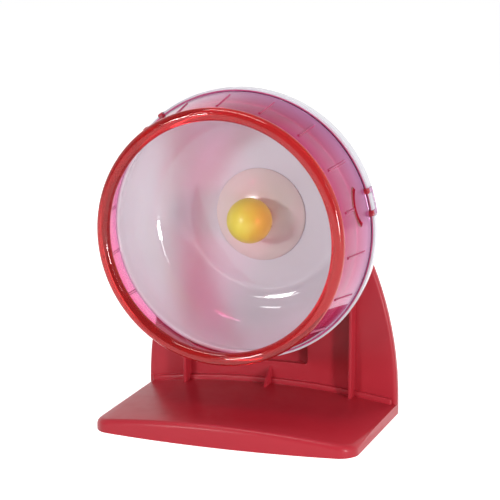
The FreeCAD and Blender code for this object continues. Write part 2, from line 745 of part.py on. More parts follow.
def make_axle_bolt():
    body = new_body("axle_bolt")
    head_back = f"({plate_back} + dim.bolt_head_clearance)"
    head_front = f"({head_back} + dim.bolt_head_height)"
    head = new_sketch(body, "head_hexagon", "XY_Plane", head_back)
    hexagon(head, "0", "0", "dim.bolt_head_width")
    feature(body, "Pad", "bolt_head", head, "dim.bolt_head_height")
    shank = new_sketch(body, "shank_circle", "XY_Plane", head_front)
    circle(shank, "0", "0", "dim.axle_radius")
    feature(body, "Pad", "bolt_shank", shank, f"{washer_front} + dim.axle_thread_in_knob - {head_front}")
    on_axle(body)
    return body


def make_knob():
    body = new_body("knob")
    centre = f"({washer_front} + dim.knob_reach)"
    back = f"({lip_front} + dim.running_gap)"
    neck = "dim.knob_neck_radius"
    bore = "(dim.axle_radius + dim.running_gap / 2)"
    bore_end = f"({washer_front} + dim.axle_thread_in_knob + dim.running_gap)"
    turn_solid(body, "knob_ball", [
        ("dim.insert_radius", back),
        (neck, back),
        (neck, f"{centre} - sqrt(dim.knob_radius ^ 2 - {neck} ^ 2)", "dim.knob_radius", "left"),
        ("dim.knob_radius", centre, "dim.knob_radius", "left"),
        ("0", f"{centre} + dim.knob_radius"),
        ("0", bore_end),
        (bore, bore_end),
        (bore, insert_front),
        ("dim.insert_radius", insert_front),
    ])
    on_axle(body)
    return body


def make_clip():
    body = new_body("bearing_clip")
    front = f"({rear_race_back} - dim.clip_play)"
    outside = "(dim.bearing_radius + dim.slide_fit + dim.clip_groove_depth - dim.clip_play)"
    clip = turn_solid(body, "clip_ring", [
        (f"{outside} - dim.clip_width", f"{front} - dim.clip_thickness"),
        (outside, f"{front} - dim.clip_thickness"),
        (outside, front),
        (f"{outside} - dim.clip_width", front),
    ])
    clip.Angle = 320
    on_axle(body)
    return body


def make_bearing(name, back, front):
    """A ball bearing's four pieces, between two places on the axle."""
    middle = f"(({back} + {front}) / 2)"
    inner_half = f"sqrt({groove_radius} ^ 2 - ({ball_circle} - {inner_race_radius}) ^ 2)"
    outer_half = f"sqrt({groove_radius} ^ 2 - ({outer_race_inside} - {ball_circle}) ^ 2)"
    bore = "(dim.axle_radius + dim.slide_fit)"

    inner = new_body(f"{name}_inner_race")
    turn_solid(inner, "inner_race", [
        (bore, back),
        (inner_race_radius, back),
        (inner_race_radius, f"{middle} - {inner_half}", groove_radius, "right"),
        (inner_race_radius, f"{middle} + {inner_half}"),
        (inner_race_radius, front),
        (bore, front),
    ])

    outer = new_body(f"{name}_outer_race")
    turn_solid(outer, "outer_race", [
        ("dim.bearing_radius", front),
        (outer_race_inside, front),
        (outer_race_inside, f"{middle} + {outer_half}", groove_radius, "right"),
        (outer_race_inside, f"{middle} - {outer_half}"),
        (outer_race_inside, back),
        ("dim.bearing_radius", back),
    ])

    balls = new_body(f"{name}_balls")
    balls.AllowCompound = True
    ball = balls.newObject("PartDesign::AdditiveSphere", "ball")
    ball.AttachmentSupport = [(origin_part(balls, "XY_Plane"), "")]
    ball.MapMode = "FlatFace"
    ball.setExpression("Radius", "dim.ball_radius")
    ball.setExpression("AttachmentOffset.Base.x", ball_circle)
    ball.setExpression("AttachmentOffset.Base.z", middle)
    doc.recompute()
    repeat_around(balls, "ball_set", [ball], BEARING_BALLS)

    cage = new_body(f"{name}_cage")
    inside = f"({ball_circle} - dim.cage_thickness / 2)"
    outside = f"({ball_circle} + dim.cage_thickness / 2)"
    turn_solid(cage, "cage_ring", [
        (inside, f"{middle} - dim.cage_width / 2"),
        (outside, f"{middle} - dim.cage_width / 2"),
        (outside, f"{middle} + dim.cage_width / 2"),
        (inside, f"{middle} + dim.cage_width / 2"),
    ])
    pocket = new_sketch(cage, "pocket_circle", "YZ_Plane")
    circle(pocket, "0", middle, groove_radius)
    pocket_cut = feature(cage, "Pocket", "ball_pocket", pocket, "dim.bearing_radius", reverse=True)
    repeat_around(cage, "ball_pockets", [pocket_cut], BEARING_BALLS)
    for body in (inner, outer, balls, cage):
        on_axle(body)
    return [inner, outer, balls, cage]


axle_bore = "(dim.axle_radius + dim.slide_fit)"
inner_spacer_radius = f"{axle_bore} + dim.spacer_thickness"
outer_spacer_bore = "dim.bearing_radius - dim.spacer_thickness"
pieces = [
    make_stand(),
    make_bowl(),
    make_ring(),
    make_hub(),
    make_hub_screws(),
    make_axle_bolt(),
    make_knob(),
    make_clip(),
]
pieces += make_bearing("rear_bearing", rear_race_back, rear_race_front)
pieces += make_bearing("front_bearing", front_race_back, front_race_front)
pieces += [
    make_tube("axle_collar", axle_bore, "dim.collar_radius", boss_front, rear_race_back),
    make_tube("inner_spacer", axle_bore, inner_spacer_radius, rear_race_front, front_race_back),
    make_tube("outer_spacer", outer_spacer_bore, "dim.bearing_radius", rear_race_front, front_race_back),
    make_tube("front_washer", axle_bore, "dim.washer_radius", front_race_front, washer_front),
    make_tube("knob_insert", axle_bore, "dim.insert_radius", washer_front, insert_front),
]
doc.recompute()

# Checks and files

for item in doc.Objects:
    if "Invalid" in item.State or "Error" in item.State:
        raise RuntimeError(f"{item.Name} did not build: {item.State}")
os.makedirs("parts", exist_ok=True)
for piece in pieces:
    if piece.Shape.isNull() or not piece.Shape.isValid():
        raise RuntimeError(f"{piece.Label} has a bad shape")
    piece.Shape.exportStep(f"parts/{piece.Label}.step")
    print(piece.Label, len(piece.Shape.Solids), "solid", round(piece.Shape.Volume, 1), "cubic mm")
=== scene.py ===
# %% [markdown]
# # A rodent exercise wheel
# This lesson dresses a small exercise wheel: a clear pink ring and a white bowl that turn on a red stand.
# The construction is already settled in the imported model, which is loaded first as a fixed frame.
# Everything here is in metres, with X to the right, Y to the back and Z up.

# %% Load the frame
import json
import math

import bmesh
import bpy
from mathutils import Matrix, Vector


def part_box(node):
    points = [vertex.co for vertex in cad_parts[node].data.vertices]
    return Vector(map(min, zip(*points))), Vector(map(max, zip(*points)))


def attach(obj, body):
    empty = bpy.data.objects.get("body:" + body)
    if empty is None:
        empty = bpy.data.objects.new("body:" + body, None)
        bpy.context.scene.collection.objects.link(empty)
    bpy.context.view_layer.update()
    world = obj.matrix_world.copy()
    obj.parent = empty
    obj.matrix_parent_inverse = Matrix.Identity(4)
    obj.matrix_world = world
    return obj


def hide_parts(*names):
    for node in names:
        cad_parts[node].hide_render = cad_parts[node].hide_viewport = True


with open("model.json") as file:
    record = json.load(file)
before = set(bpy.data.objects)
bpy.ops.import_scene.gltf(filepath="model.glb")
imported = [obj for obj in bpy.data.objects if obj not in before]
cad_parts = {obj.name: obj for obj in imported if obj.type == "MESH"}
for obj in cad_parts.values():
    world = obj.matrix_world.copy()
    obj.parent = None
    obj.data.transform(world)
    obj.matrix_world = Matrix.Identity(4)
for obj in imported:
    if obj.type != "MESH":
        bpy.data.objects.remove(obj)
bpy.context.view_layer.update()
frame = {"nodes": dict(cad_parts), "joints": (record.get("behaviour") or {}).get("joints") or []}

mm = 0.001
nodes = frame["nodes"]

# %% [markdown]
# ## The camera
# The photograph was taken with a long lens from the right, a little above the wheel. The camera looks the
# same way, and it comes first. A 36 mm sensor and a long focal length give the weak perspective that
# product pictures have.

# %% Set up the camera
VIEW_AZIMUTH = math.radians(19.62)
VIEW_ELEVATION = math.radians(12.53)
CAMERA_PLACE = Vector((0.3426, -0.9544, 0.3207))
LENS = 141.84
SENSOR = 36.0

to_camera = Vector((
    math.sin(VIEW_AZIMUTH) * math.cos(VIEW_ELEVATION),
    -math.cos(VIEW_AZIMUTH) * math.cos(VIEW_ELEVATION),
    math.sin(VIEW_ELEVATION),
))
camera_data = bpy.data.cameras.new("camera")
camera_data.lens = LENS
camera_data.sensor_width = SENSOR
camera = bpy.data.objects.new("camera", camera_data)
camera.location = CAMERA_PLACE
camera.rotation_mode = "QUATERNION"
camera.rotation_quaternion = (-to_camera).to_track_quat("-Z", "Y")
bpy.context.scene.collection.objects.link(camera)
bpy.context.scene.camera = camera
bpy.context.scene.view_settings.view_transform = "Standard"
print("camera at", tuple(round(v, 3) for v in camera.location))

# %% [markdown]
# ## Light and floor
# A product picture like this one is lit by soft boxes in front of a white sweep. The sweep is a white world
# and a wide pale floor. Looked at, straight on or through clear plastic, both are white, while the light
# that they send to the object stays at a plain level, so that colours look the way they are written. The
# room is dimmer overhead and behind the camera, which gives the clear rim its dark lines. The small boxes
# and strips are placed by the streaks that they leave in the glossy bowl, and the rear box only fills the
# back.

# %% Make the world and the floor
ROOM_TONE = (1.0, 0.985, 0.975, 1.0)
ROOM_LIGHT = 0.32
CEILING = 0.3
CEILING_FADE = (0.35, 0.75)
FRONT_OF_ROOM = 0.12
FRONT_FADE = (-0.1, -0.5)
FLOOR_SIZE = 14.0
FLOOR_TONE = (0.8, 0.8, 0.8, 1.0)
FLOOR_GLOW = 0.74
LOOKED_AT = ("Is Camera Ray", "Is Glossy Ray", "Is Transmission Ray")


def any_ray(tree, first, *others):
    """A value that is one for rays of the named kinds, and zero for all others."""
    path = tree.nodes.new("ShaderNodeLightPath")
    found = path.outputs[first]
    for kind in others:
        either = tree.nodes.new("ShaderNodeMath")
        either.operation = "MAXIMUM"
        tree.links.new(found, either.inputs[0])
        tree.links.new(path.outputs[kind], either.inputs[1])
        found = either.outputs[0]
    return found


def map_range(tree, value, source, target):
    """Maps a value from one range to another and stops at its ends."""
    change = tree.nodes.new("ShaderNodeMapRange")
    for name, level in zip(("From Min", "From Max", "To Min", "To Max"), source + target):
        change.inputs[name].default_value = level
    tree.links.new(value, change.inputs["Value"])
    return change.outputs["Result"]


def white_room():
    world = bpy.data.worlds.new("white_room")
    world.use_nodes = True
    tree = world.node_tree
    tree.nodes.clear()
    soft = tree.nodes.new("ShaderNodeBackground")
    soft.inputs["Color"].default_value = ROOM_TONE
    soft.inputs["Strength"].default_value = ROOM_LIGHT
    walls = tree.nodes.new("ShaderNodeBackground")
    walls.inputs["Strength"].default_value = 1.0
    towards = tree.nodes.new("ShaderNodeTexCoord")
    parts = tree.nodes.new("ShaderNodeSeparateXYZ")
    tree.links.new(towards.outputs["Generated"], parts.inputs["Vector"])
    overhead = map_range(tree, parts.outputs["Z"], CEILING_FADE, (1.0, CEILING))
    in_front = map_range(tree, parts.outputs["Y"], FRONT_FADE, (1.0, FRONT_OF_ROOM))
    darker = tree.nodes.new("ShaderNodeMath")
    darker.operation = "MULTIPLY"
    tree.links.new(overhead, darker.inputs[0])
    tree.links.new(in_front, darker.inputs[1])
    tree.links.new(darker.outputs[0], walls.inputs["Color"])
    mix = tree.nodes.new("ShaderNodeMixShader")
    out = tree.nodes.new("ShaderNodeOutputWorld")
    tree.links.new(any_ray(tree, *LOOKED_AT), mix.inputs[0])
    tree.links.new(soft.outputs[0], mix.inputs[1])
    tree.links.new(walls.outputs[0], mix.inputs[2])
    tree.links.new(mix.outputs[0], out.inputs["Surface"])
    bpy.context.scene.world = world


def pale_floor():
    bpy.ops.object.select_all(action="DESELECT")
    bpy.ops.mesh.primitive_plane_add(size=FLOOR_SIZE, location=(0, 0, 0))
    floor = bpy.context.object
    floor.name = "floor"
    finish = bpy.data.materials.new("pale_floor")
    finish.use_nodes = True
    tree = finish.node_tree
    tree.nodes.clear()
    matte = tree.nodes.new("ShaderNodeBsdfDiffuse")
    shade = tree.nodes.new("ShaderNodeBsdfDiffuse")
    for cover in (matte, shade):
        cover.inputs["Color"].default_value = FLOOR_TONE
    glow = tree.nodes.new("ShaderNodeEmission")
    glow.inputs["Strength"].default_value = FLOOR_GLOW
    both = tree.nodes.new("ShaderNodeAddShader")
    mix = tree.nodes.new("ShaderNodeMixShader")
    out = tree.nodes.new("ShaderNodeOutputMaterial")
    tree.links.new(shade.outputs[0], both.inputs[0])
    tree.links.new(glow.outputs[0], both.inputs[1])
    tree.links.new(any_ray(tree, *LOOKED_AT), mix.inputs[0])
    tree.links.new(matte.outputs[0], mix.inputs[1])
    tree.links.new(both.outputs[0], mix.inputs[2])
    tree.links.new(mix.outputs[0], out.inputs["Surface"])
    floor.data.materials.append(finish)


def soft_box(name, place, width, height, power):
    """A soft box of a size in metres and a power in watts, turned to the middle of the wheel."""
    light = bpy.data.lights.new(name, "AREA")
    light.shape = "RECTANGLE"
    light.size = width
    light.size_y = height
    light.energy = power
    lamp = bpy.data.objects.new(name, light)
    lamp.location = place
    lamp.rotation_mode = "QUATERNION"
    lamp.rotation_quaternion = (wheel_middle - Vector(place)).to_track_quat("-Z", "Y")
    bpy.context.scene.collection.objects.link(lamp)
    return lamp


wheel_middle = Vector(frame["joints"][0]["pos_m"])
white_room()
pale_floor()
soft_box("overhead_box", (-0.13, -0.22, 0.95), 0.6, 0.12, 2.7)
soft_box("right_box", (0.91, -0.55, 0.15), 0.14, 0.24, 5.2)
soft_box("right_strip", (0.91, -0.55, 0.46), 0.03, 0.38, 0.6)
soft_box("left_box", (-0.5, -1.05, 0.3), 0.17, 0.1, 3.4)
soft_box("left_strip", (-0.5, -1.04, 0.34), 0.32, 0.06, 0.5)
soft_box("upper_left_strip", (-0.5, -0.87, 0.72), 0.22, 0.06, 0.55)
rear_box = soft_box("rear_box", (0.3, 0.95, 0.5), 0.5, 0.4, 4.5)
rear_box.visible_glossy = False
rear_box.visible_transmission = False
print("floor, white room and seven soft boxes")

# %% [markdown]
# ## Finishes
# Moulded plastic is never one flat colour: the dye drifts a little through the piece, the gloss is broken
# by fine flow marks, and handling leaves the surface slightly uneven. Each finish below mixes two close
# tones with a slow noise, lets a finer noise drive the roughness, and adds a very shallow bump. The patterns
# read Object coordinates, so they stay with the piece when it turns.

# %% Helpers for finishes
NOISE_MIDDLE = (0.3, 0.7)
EVEN = (1.0, 1.0, 1.0)
FLOW_MARKS = 140.0
GRAIN = 900.0
GRAIN_DEPTH = 0.00003
FINE_DEPTH = 0.00001
METAL_DRIFT = 160.0
TURNING_MARKS = 700.0
TURNING_GRAIN = 2500.0


def new_finish(name):
    """A material with one Principled shader. Returns it with its node tree and that shader."""
    finish = bpy.data.materials.new(name)
    finish.use_nodes = True
    tree = finish.node_tree
    shader = next(n for n in tree.nodes if n.type == "BSDF_PRINCIPLED")
    return finish, tree, shader


def noise(tree, scale, detail=3.0, stretch=EVEN):
    """A noise value in Object coordinates, stretched along the axes as asked."""
    place = tree.nodes.new("ShaderNodeTexCoord")
    turn = tree.nodes.new("ShaderNodeMapping")
    turn.inputs["Scale"].default_value = stretch
    cloud = tree.nodes.new("ShaderNodeTexNoise")
    cloud.inputs["Scale"].default_value = scale
    cloud.inputs["Detail"].default_value = detail
    tree.links.new(place.outputs["Object"], turn.inputs["Vector"])
    tree.links.new(turn.outputs["Vector"], cloud.inputs["Vector"])
    return cloud.outputs["Fac"]


def spread(tree, value, low, high):
    """Maps the busy middle of a noise to a range."""
    return map_range(tree, value, NOISE_MIDDLE, (low, high))


def blend_tones(tree, value, tone_a, tone_b):
    mix = tree.nodes.new("ShaderNodeMix")
    mix.data_type = "RGBA"
    mix.inputs["A"].default_value = (*tone_a, 1.0)
    mix.inputs["B"].default_value = (*tone_b, 1.0)
    tree.links.new(value, mix.inputs["Factor"])
    return mix.outputs["Result"]


def shallow_bump(tree, shader, value, depth, strength=0.4):
    bump = tree.nodes.new("ShaderNodeBump")
    bump.inputs["Strength"].default_value = strength
    bump.inputs["Distance"].default_value = depth
    tree.links.new(value, bump.inputs["Height"])
    tree.links.new(bump.outputs["Normal"], shader.inputs["Normal"])


def moulded_plastic(name, tone_a, tone_b, gloss, drift, depth=GRAIN_DEPTH, marks=EVEN, sheen=0.5):
    """An opaque moulded plastic: two close tones, a broken gloss and a faint grain."""
    finish, tree, shader = new_finish(name)
    shader.inputs["Specular IOR Level"].default_value = sheen
    slow = spread(tree, noise(tree, drift, stretch=marks), 0.0, 1.0)
    tree.links.new(blend_tones(tree, slow, tone_a, tone_b), shader.inputs["Base Color"])
    tree.links.new(spread(tree, noise(tree, FLOW_MARKS, 5.0), *gloss), shader.inputs["Roughness"])
    shallow_bump(tree, shader, noise(tree, GRAIN, 2.0), depth)
    return finish


def turned_metal(name, tone_a, tone_b, gloss):
    """A metal with fine turning marks round the axle."""
    finish, tree, shader = new_finish(name)
    shader.inputs["Metallic"].default_value = 1.0
    slow = spread(tree, noise(tree, METAL_DRIFT, 4.0), 0.0, 1.0)
    tree.links.new(blend_tones(tree, slow, tone_a, tone_b), shader.inputs["Base Color"])
    marks = noise(tree, TURNING_MARKS, 3.0, (1.0, 6.0, 1.0))
    tree.links.new(spread(tree, marks, *gloss), shader.inputs["Roughness"])
    shallow_bump(tree, shader, noise(tree, TURNING_GRAIN, 2.0, (0.4, 3.0, 0.4)), FINE_DEPTH)
    return finish


stand_red = moulded_plastic(
    "stand_red", (0.485, 0.028, 0.045), (0.465, 0.025, 0.041), (0.28, 0.34), drift=14.0,
    marks=(1.0, 0.4, 1.0), sheen=0.26)
bowl_white = moulded_plastic(
    "bowl_white", (0.75, 0.735, 0.80), (0.73, 0.715, 0.78), (0.015, 0.04), drift=22.0, depth=FINE_DEPTH)
hub_cream = moulded_plastic(
    "hub_cream", (0.86, 0.78, 0.74), (0.84, 0.75, 0.71), (0.16, 0.22), drift=30.0, depth=FINE_DEPTH)
knob_yellow = moulded_plastic(
    "knob_yellow", (0.87, 0.80, 0.11), (0.84, 0.77, 0.10), (0.3, 0.36), drift=60.0)
nylon = moulded_plastic(
    "nylon", (0.62, 0.59, 0.5), (0.57, 0.54, 0.46), (0.42, 0.55), drift=90.0)
zinc = turned_metal("zinc", (0.60, 0.60, 0.59), (0.52, 0.53, 0.54), (0.26, 0.4))
ground_steel = turned_metal("ground_steel", (0.56, 0.56, 0.57), (0.5, 0.5, 0.51), (0.14, 0.22))
brass = turned_metal("brass", (0.72, 0.52, 0.22), (0.64, 0.45, 0.18), (0.22, 0.34))
plastics = (stand_red, bowl_white, hub_cream, knob_yellow, nylon)
print("opaque finishes:", [finish.name for finish in plastics + (zinc, ground_steel, brass)])

# %% [markdown]
# ## Clear tinted plastic
# The ring is clear plastic with a pink dye. Glass shaders bend light, which gives the thick round rim its
# bright and dark lines. Lamps can't reach through a glass shader, though, and the bowl behind it would turn
# dark. So soft light and shadow rays meet a plain tinted film instead: that is how the pink light gets
# into the bowl. Each face of the film passes on a little less than all of it, as each face of a real wall
# mirrors some away. The tint runs from pink at the back to red at the rim.

# %% Make the clear finishes
BOWL_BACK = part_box("rear_bowl")[1].y
SHOULDER = 31.8
TINT_LENGTH = 29.0
RING_BACK = BOWL_BACK - SHOULDER * mm
RING_FRONT = RING_BACK - TINT_LENGTH * mm
PLASTIC_IOR = 1.49
CLEAR_MARKS = 160.0
CLEAR_SPREAD = 0.04
PASSED_ON = 0.88


def along_ring(tree):
    """Zero at the ring's rear edge and one behind the rim."""
    place = tree.nodes.new("ShaderNodeTexCoord")
    parts = tree.nodes.new("ShaderNodeSeparateXYZ")
    tree.links.new(place.outputs["Object"], parts.inputs["Vector"])
    return map_range(tree, parts.outputs["Y"], (RING_BACK, RING_FRONT), (0.0, 1.0))


def clear_plastic(name, back_tint, front_tint, roughness, clarity=1.0, sheen=0.5):
    """Clear plastic whose tint runs from its back to the rim, and a film of the same tint for soft light.

    Less clarity makes it cloudy, as where many small edges scatter the light.
    """
    finish, tree, shader = new_finish(name)
    shader.inputs["Transmission Weight"].default_value = clarity
    shader.inputs["IOR"].default_value = PLASTIC_IOR
    shader.inputs["Specular IOR Level"].default_value = sheen
    tint = blend_tones(tree, along_ring(tree), back_tint, front_tint)
    tree.links.new(tint, shader.inputs["Base Color"])
    marks = spread(tree, noise(tree, CLEAR_MARKS, 4.0), roughness, roughness + CLEAR_SPREAD)
    tree.links.new(marks, shader.inputs["Roughness"])
    film = tree.nodes.new("ShaderNodeBsdfTransparent")
    one_face = [[PASSED_ON * math.sqrt(c) for c in colour] for colour in (back_tint, front_tint)]
    tree.links.new(blend_tones(tree, along_ring(tree), *one_face), film.inputs["Color"])
    mix = tree.nodes.new("ShaderNodeMixShader")
    out = next(n for n in tree.nodes if n.type == "OUTPUT_MATERIAL")
    tree.links.new(any_ray(tree, "Is Shadow Ray", "Is Diffuse Ray"), mix.inputs[0])
    tree.links.new(shader.outputs[0], mix.inputs[1])
    tree.links.new(film.outputs[0], mix.inputs[2])
    tree.links.new(mix.outputs[0], out.inputs["Surface"])
    return finish


clear_pink = clear_plastic("clear_pink", (0.86, 0.52, 0.76), (0.82, 0.04, 0.23), 0.02, sheen=0.15)
clear_red = clear_plastic(
    "clear_red", (0.7, 0.034, 0.036), (0.7, 0.034, 0.036), 0.02, clarity=0.75, sheen=0.3)
# Edge finishes: darker, cloudier tints, partly the colour that edges gather and partly painted shade.
edge_pink_painted_shade = clear_plastic("edge_pink_painted_shade", (0.6, 0.11, 0.26), (0.4, 0.016, 0.08), 0.2, clarity=0.1, sheen=0.2)
edge_red_painted_shade = clear_plastic("edge_red_painted_shade", (0.48, 0.018, 0.04), (0.48, 0.018, 0.04), 0.06, clarity=0.3)
print("clear finishes: clear_pink, clear_red, edge_pink_painted_shade, edge_red_painted_shade")

# %% [markdown]
# ## Tools for modelling
# Every operator acts on what is selected, so the helpers below first select the one piece, or the few faces
# and edges, that are meant. Faces and edges are found by where they lie or which way they face. The same few
# moves then shape every piece: extrude, bevel, slice, cut with another piece and join.

# %% Helpers for every piece
MERGE = 0.000002
CLOSE = 0.01
FACING = 0.9


def choose(piece):
    """Selects one object alone and makes it the active one."""
    bpy.ops.object.select_all(action="DESELECT")
    piece.select_set(True)
    bpy.context.view_layer.objects.active = piece


def apply_place():
    """Puts the place, turn and scale of what is selected into its mesh."""
    bpy.ops.object.transform_apply(location=True, rotation=True, scale=True)


def edit_mode():
    bpy.ops.object.mode_set(mode="EDIT")


def leave_edit_mode():
    bpy.ops.object.mode_set(mode="OBJECT")


def rename(piece, name):
    piece.name = name
    piece.data.name = name


def point_outwards(merge=False):
    """In edit mode, turns all faces outwards, after merging doubled points where asked."""
    bpy.ops.mesh.select_all(action="SELECT")
    if merge:
        bpy.ops.mesh.remove_doubles(threshold=MERGE)
    bpy.ops.mesh.normals_make_consistent(inside=False)


def pull(*vector):
    """In edit mode, extrudes the selected faces by a move in millimetres."""
    bpy.ops.mesh.extrude_region_move(TRANSFORM_OT_translate={"value": [v * mm for v in vector]})


def bevel(radius, segments):
    """In edit mode, rounds the selected edges by a radius in millimetres."""
    bpy.ops.mesh.bevel(offset=radius * mm, segments=segments, affect="EDGES")


def pick(piece, kind, wanted):
    """In edit mode, selects only the faces, edges or verts for which wanted is true. Returns how many."""
    bpy.ops.mesh.select_mode(type={"faces": "FACE", "edges": "EDGE", "verts": "VERT"}[kind])
    bpy.ops.mesh.select_all(action="DESELECT")
    grid = bmesh.from_edit_mesh(piece.data)
    chosen = [item for item in getattr(grid, kind) if wanted(item)]
    for item in chosen:
        item.select_set(True)
    bmesh.update_edit_mesh(piece.data)
    return len(chosen)


def paint(piece, finish_number, wanted):
    """Gives one of the piece's finishes to the faces for which wanted is true."""
    pick(piece, "faces", wanted)
    piece.active_material_index = finish_number
    bpy.ops.object.material_slot_assign()


def slice_at(piece, place, normal):
    """Cuts the whole piece in two along a plane, without parting it. Edit mode."""
    bpy.ops.mesh.select_all(action="SELECT")
    bpy.ops.mesh.bisect(plane_co=[v * mm for v in place], plane_no=normal)


def block(low, high):
    """A box between two corners in millimetres, with its place in its mesh."""
    bpy.ops.object.select_all(action="DESELECT")
    middle = [(a + b) / 2 * mm for a, b in zip(low, high)]
    bpy.ops.mesh.primitive_cube_add(size=1, location=middle)
    box = bpy.context.object
    box.scale = [(b - a) * mm for a, b in zip(low, high)]
    apply_place()
    return box


def combine(piece, tool, operation):
    """Cuts a tool from a piece or joins it on, for good, and removes the tool."""
    change = piece.modifiers.new("combine", "BOOLEAN")
    change.operation = operation
    change.object = tool
    change.solver = "EXACT"
    change.material_mode = "TRANSFER" if tool.data.materials else "INDEX"
    choose(piece)
    bpy.ops.object.modifier_apply(modifier=change.name)
    bpy.data.objects.remove(tool)


def move(vector):
    bpy.ops.transform.translate(value=[v * mm for v in vector])


# %% Tests that find faces and edges


def at(value, place):
    return abs(value / mm - place) < CLOSE


def meets(edge, first, second):
    """Whether an edge lies between a face that passes the first test and one that passes the second."""
    faces = edge.link_faces
    if len(faces) != 2:
        return False
    a, b = faces
    return (first(a) and second(b)) or (first(b) and second(a))


def faces_up(face):
    return face.normal.z > FACING


def faces_down(face):
    return face.normal.z < -FACING


def faces_front(face):
    return face.normal.y < -FACING


def faces_back(face):
    return face.normal.y > FACING


def faces_aside(face):
    return abs(face.normal.x) > FACING


def upright(face):
    return abs(face.normal.z) < 0.3


# %% Helpers that finish a piece


def smooth(piece, angle=32.0):
    choose(piece)
    bpy.ops.object.shade_smooth_by_angle(angle=math.radians(angle))


def dress(piece, body, slot, finish, *replaced):
    """Gives a finished piece its finish where it has none and its body, and hides the nodes that it stands
    for.
    """
    if not piece.data.materials:
        piece.data.materials.append(finish)
    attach(piece, body)
    if replaced:
        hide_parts(*replaced)
    print(piece.name, len(piece.data.polygons), "faces")


# %% [markdown]
# ## Turned pieces
# The bowl, the ring, the hub and the knob are all bodies of revolution. They could be spun from a profile
# in one go. Here they grow the way a pot does: a circle is extruded along the axle and scaled at each step
# of the profile, which leaves a clean grid of four-sided faces.

# %% Helpers for turned pieces
AXLE_X, _, AXLE_Z = wheel_middle
TAB_ANGLE = math.radians(13.6)


def arc(centre, radius, start, end, steps):
    """Points of an arc in a profile of (radius, distance to the front), by angles in degrees."""
    points = []
    for i in range(steps + 1):
        angle = math.radians(start + (end - start) * i / steps)
        points.append((centre[0] + radius * math.cos(angle), centre[1] + radius * math.sin(angle)))
    return points


def straight(start, end, steps):
    """Evenly spaced points of a line, without its end."""
    return [(start[0] + (end[0] - start[0]) * i / steps, start[1] + (end[1] - start[1]) * i / steps)
            for i in range(steps)]


def turned_piece(name, profile, segments=180, closed=True):
    """Extrudes and scales a circle along a profile of (radius, distance to the front) in millimetres.

    An open profile starts with a filled circle and ends on the axis.
    """
    bpy.ops.object.select_all(action="DESELECT")
    radius, place = profile[0]
    bpy.ops.mesh.primitive_circle_add(
        vertices=segments, radius=radius * mm, location=(0, 0, place * mm),
        fill_type="NOTHING" if closed else "NGON")
    apply_place()
    piece = bpy.context.object
    rename(piece, name)
    edit_mode()
    bpy.ops.mesh.select_all(action="SELECT")
    steps = profile[1:] + (profile[:1] if closed else [])
    for new_radius, new_place in steps:
        along = (0, 0, (new_place - place) * mm)
        bpy.ops.mesh.extrude_edges_move(TRANSFORM_OT_translate={"value": along})
        scale = new_radius / radius if new_radius > 0 else 0.0
        if abs(scale - 1) > 1e-9:
            bpy.ops.transform.resize(value=(scale, scale, 1), center_override=(0, 0, new_place * mm))
        radius, place = new_radius, new_place
        if radius == 0:
            bpy.ops.mesh.merge(type="CENTER")
    point_outwards(merge=True)
    leave_edit_mode()
    return piece


def put_on_axle(piece, turn=0.0):
    """Stands a piece, drawn about its own Z axis, on the axle, and puts its place into its mesh."""
    choose(piece)
    piece.rotation_euler = (0, 0, turn)
    apply_place()
    piece.rotation_euler = (math.radians(90), 0, 0)
    piece.location = (AXLE_X, BOWL_BACK, AXLE_Z)
    apply_place()


# %% [markdown]
# ## The white bowl
# The bowl is one deep moulding: a flat back, a wide round corner and a wall that ends in a thin spigot,
# over which the ring slides. Its mouth edge is rounded a little so that it catches the light.

# %% Turn the bowl
BOWL_RADIUS = 72.2
BOWL_CORNER = 30.0
BOWL_INNER_CORNER = 28.0
BOWL_WALL = 2.2
BOWL_HOLE = 11.15
SPIGOT = 14.0
SPIGOT_WALL = 1.8
SPIGOT_FIT = 0.15
RING_LENGTH = 32.2
RING_REAR_RADIUS = 70.6
RING_FRONT_RADIUS = 65.2
RING_SLOPE = (RING_REAR_RADIUS - RING_FRONT_RADIUS) / RING_LENGTH
RING_WALL = 1.7


def ring_radius(place):
    return RING_REAR_RADIUS - RING_SLOPE * (place - SHOULDER)


def make_bowl():
    spigot_front = SHOULDER + SPIGOT
    fit = RING_WALL + SPIGOT_FIT
    lip = ring_radius(spigot_front) - fit - SPIGOT_WALL
    tilt = math.degrees(math.atan(RING_SLOPE))
    slant = math.hypot(1, RING_SLOPE)
    corner_middle = BOWL_WALL + BOWL_INNER_CORNER
    corner_centre = lip + RING_SLOPE * (spigot_front - corner_middle) - BOWL_INNER_CORNER * slant
    inner_end = (corner_centre + BOWL_INNER_CORNER / slant,
                 corner_middle + BOWL_INNER_CORNER * RING_SLOPE / slant)
    spigot_root = ring_radius(SHOULDER) - fit
    edge = 0.5
    lip_round = SPIGOT_WALL / 2
    lip_middle = lip + lip_round
    lip_place = spigot_front - lip_round
    profile = straight((BOWL_HOLE, 0.0), (BOWL_RADIUS - BOWL_CORNER, 0.0), 6)
    profile += arc((BOWL_RADIUS - BOWL_CORNER, BOWL_CORNER), BOWL_CORNER, -90, 0, 28)
    profile += arc((BOWL_RADIUS - edge, SHOULDER - edge), edge, 0, 90, 4)
    profile += [(spigot_root, SHOULDER)]
    profile += straight((spigot_root, SHOULDER + CLOSE), (lip_middle + lip_round, lip_place), 5)[1:]
    profile += arc((lip_middle, lip_place), lip_round, 0, 180, 8)
    profile += straight((lip_middle - lip_round, lip_place), inner_end, 4)[1:]
    profile += arc((corner_centre, corner_middle), BOWL_INNER_CORNER, tilt, -90, 30)
    profile += straight((corner_centre, BOWL_WALL), (BOWL_HOLE, BOWL_WALL), 6)[1:]
    profile += [(BOWL_HOLE, BOWL_WALL)]
    bowl = turned_piece("bowl_shell", profile)
    bowl.data.materials.append(bowl_white)
    return bowl


bowl = make_bowl()
print("bowl", len(bowl.data.polygons), "faces")
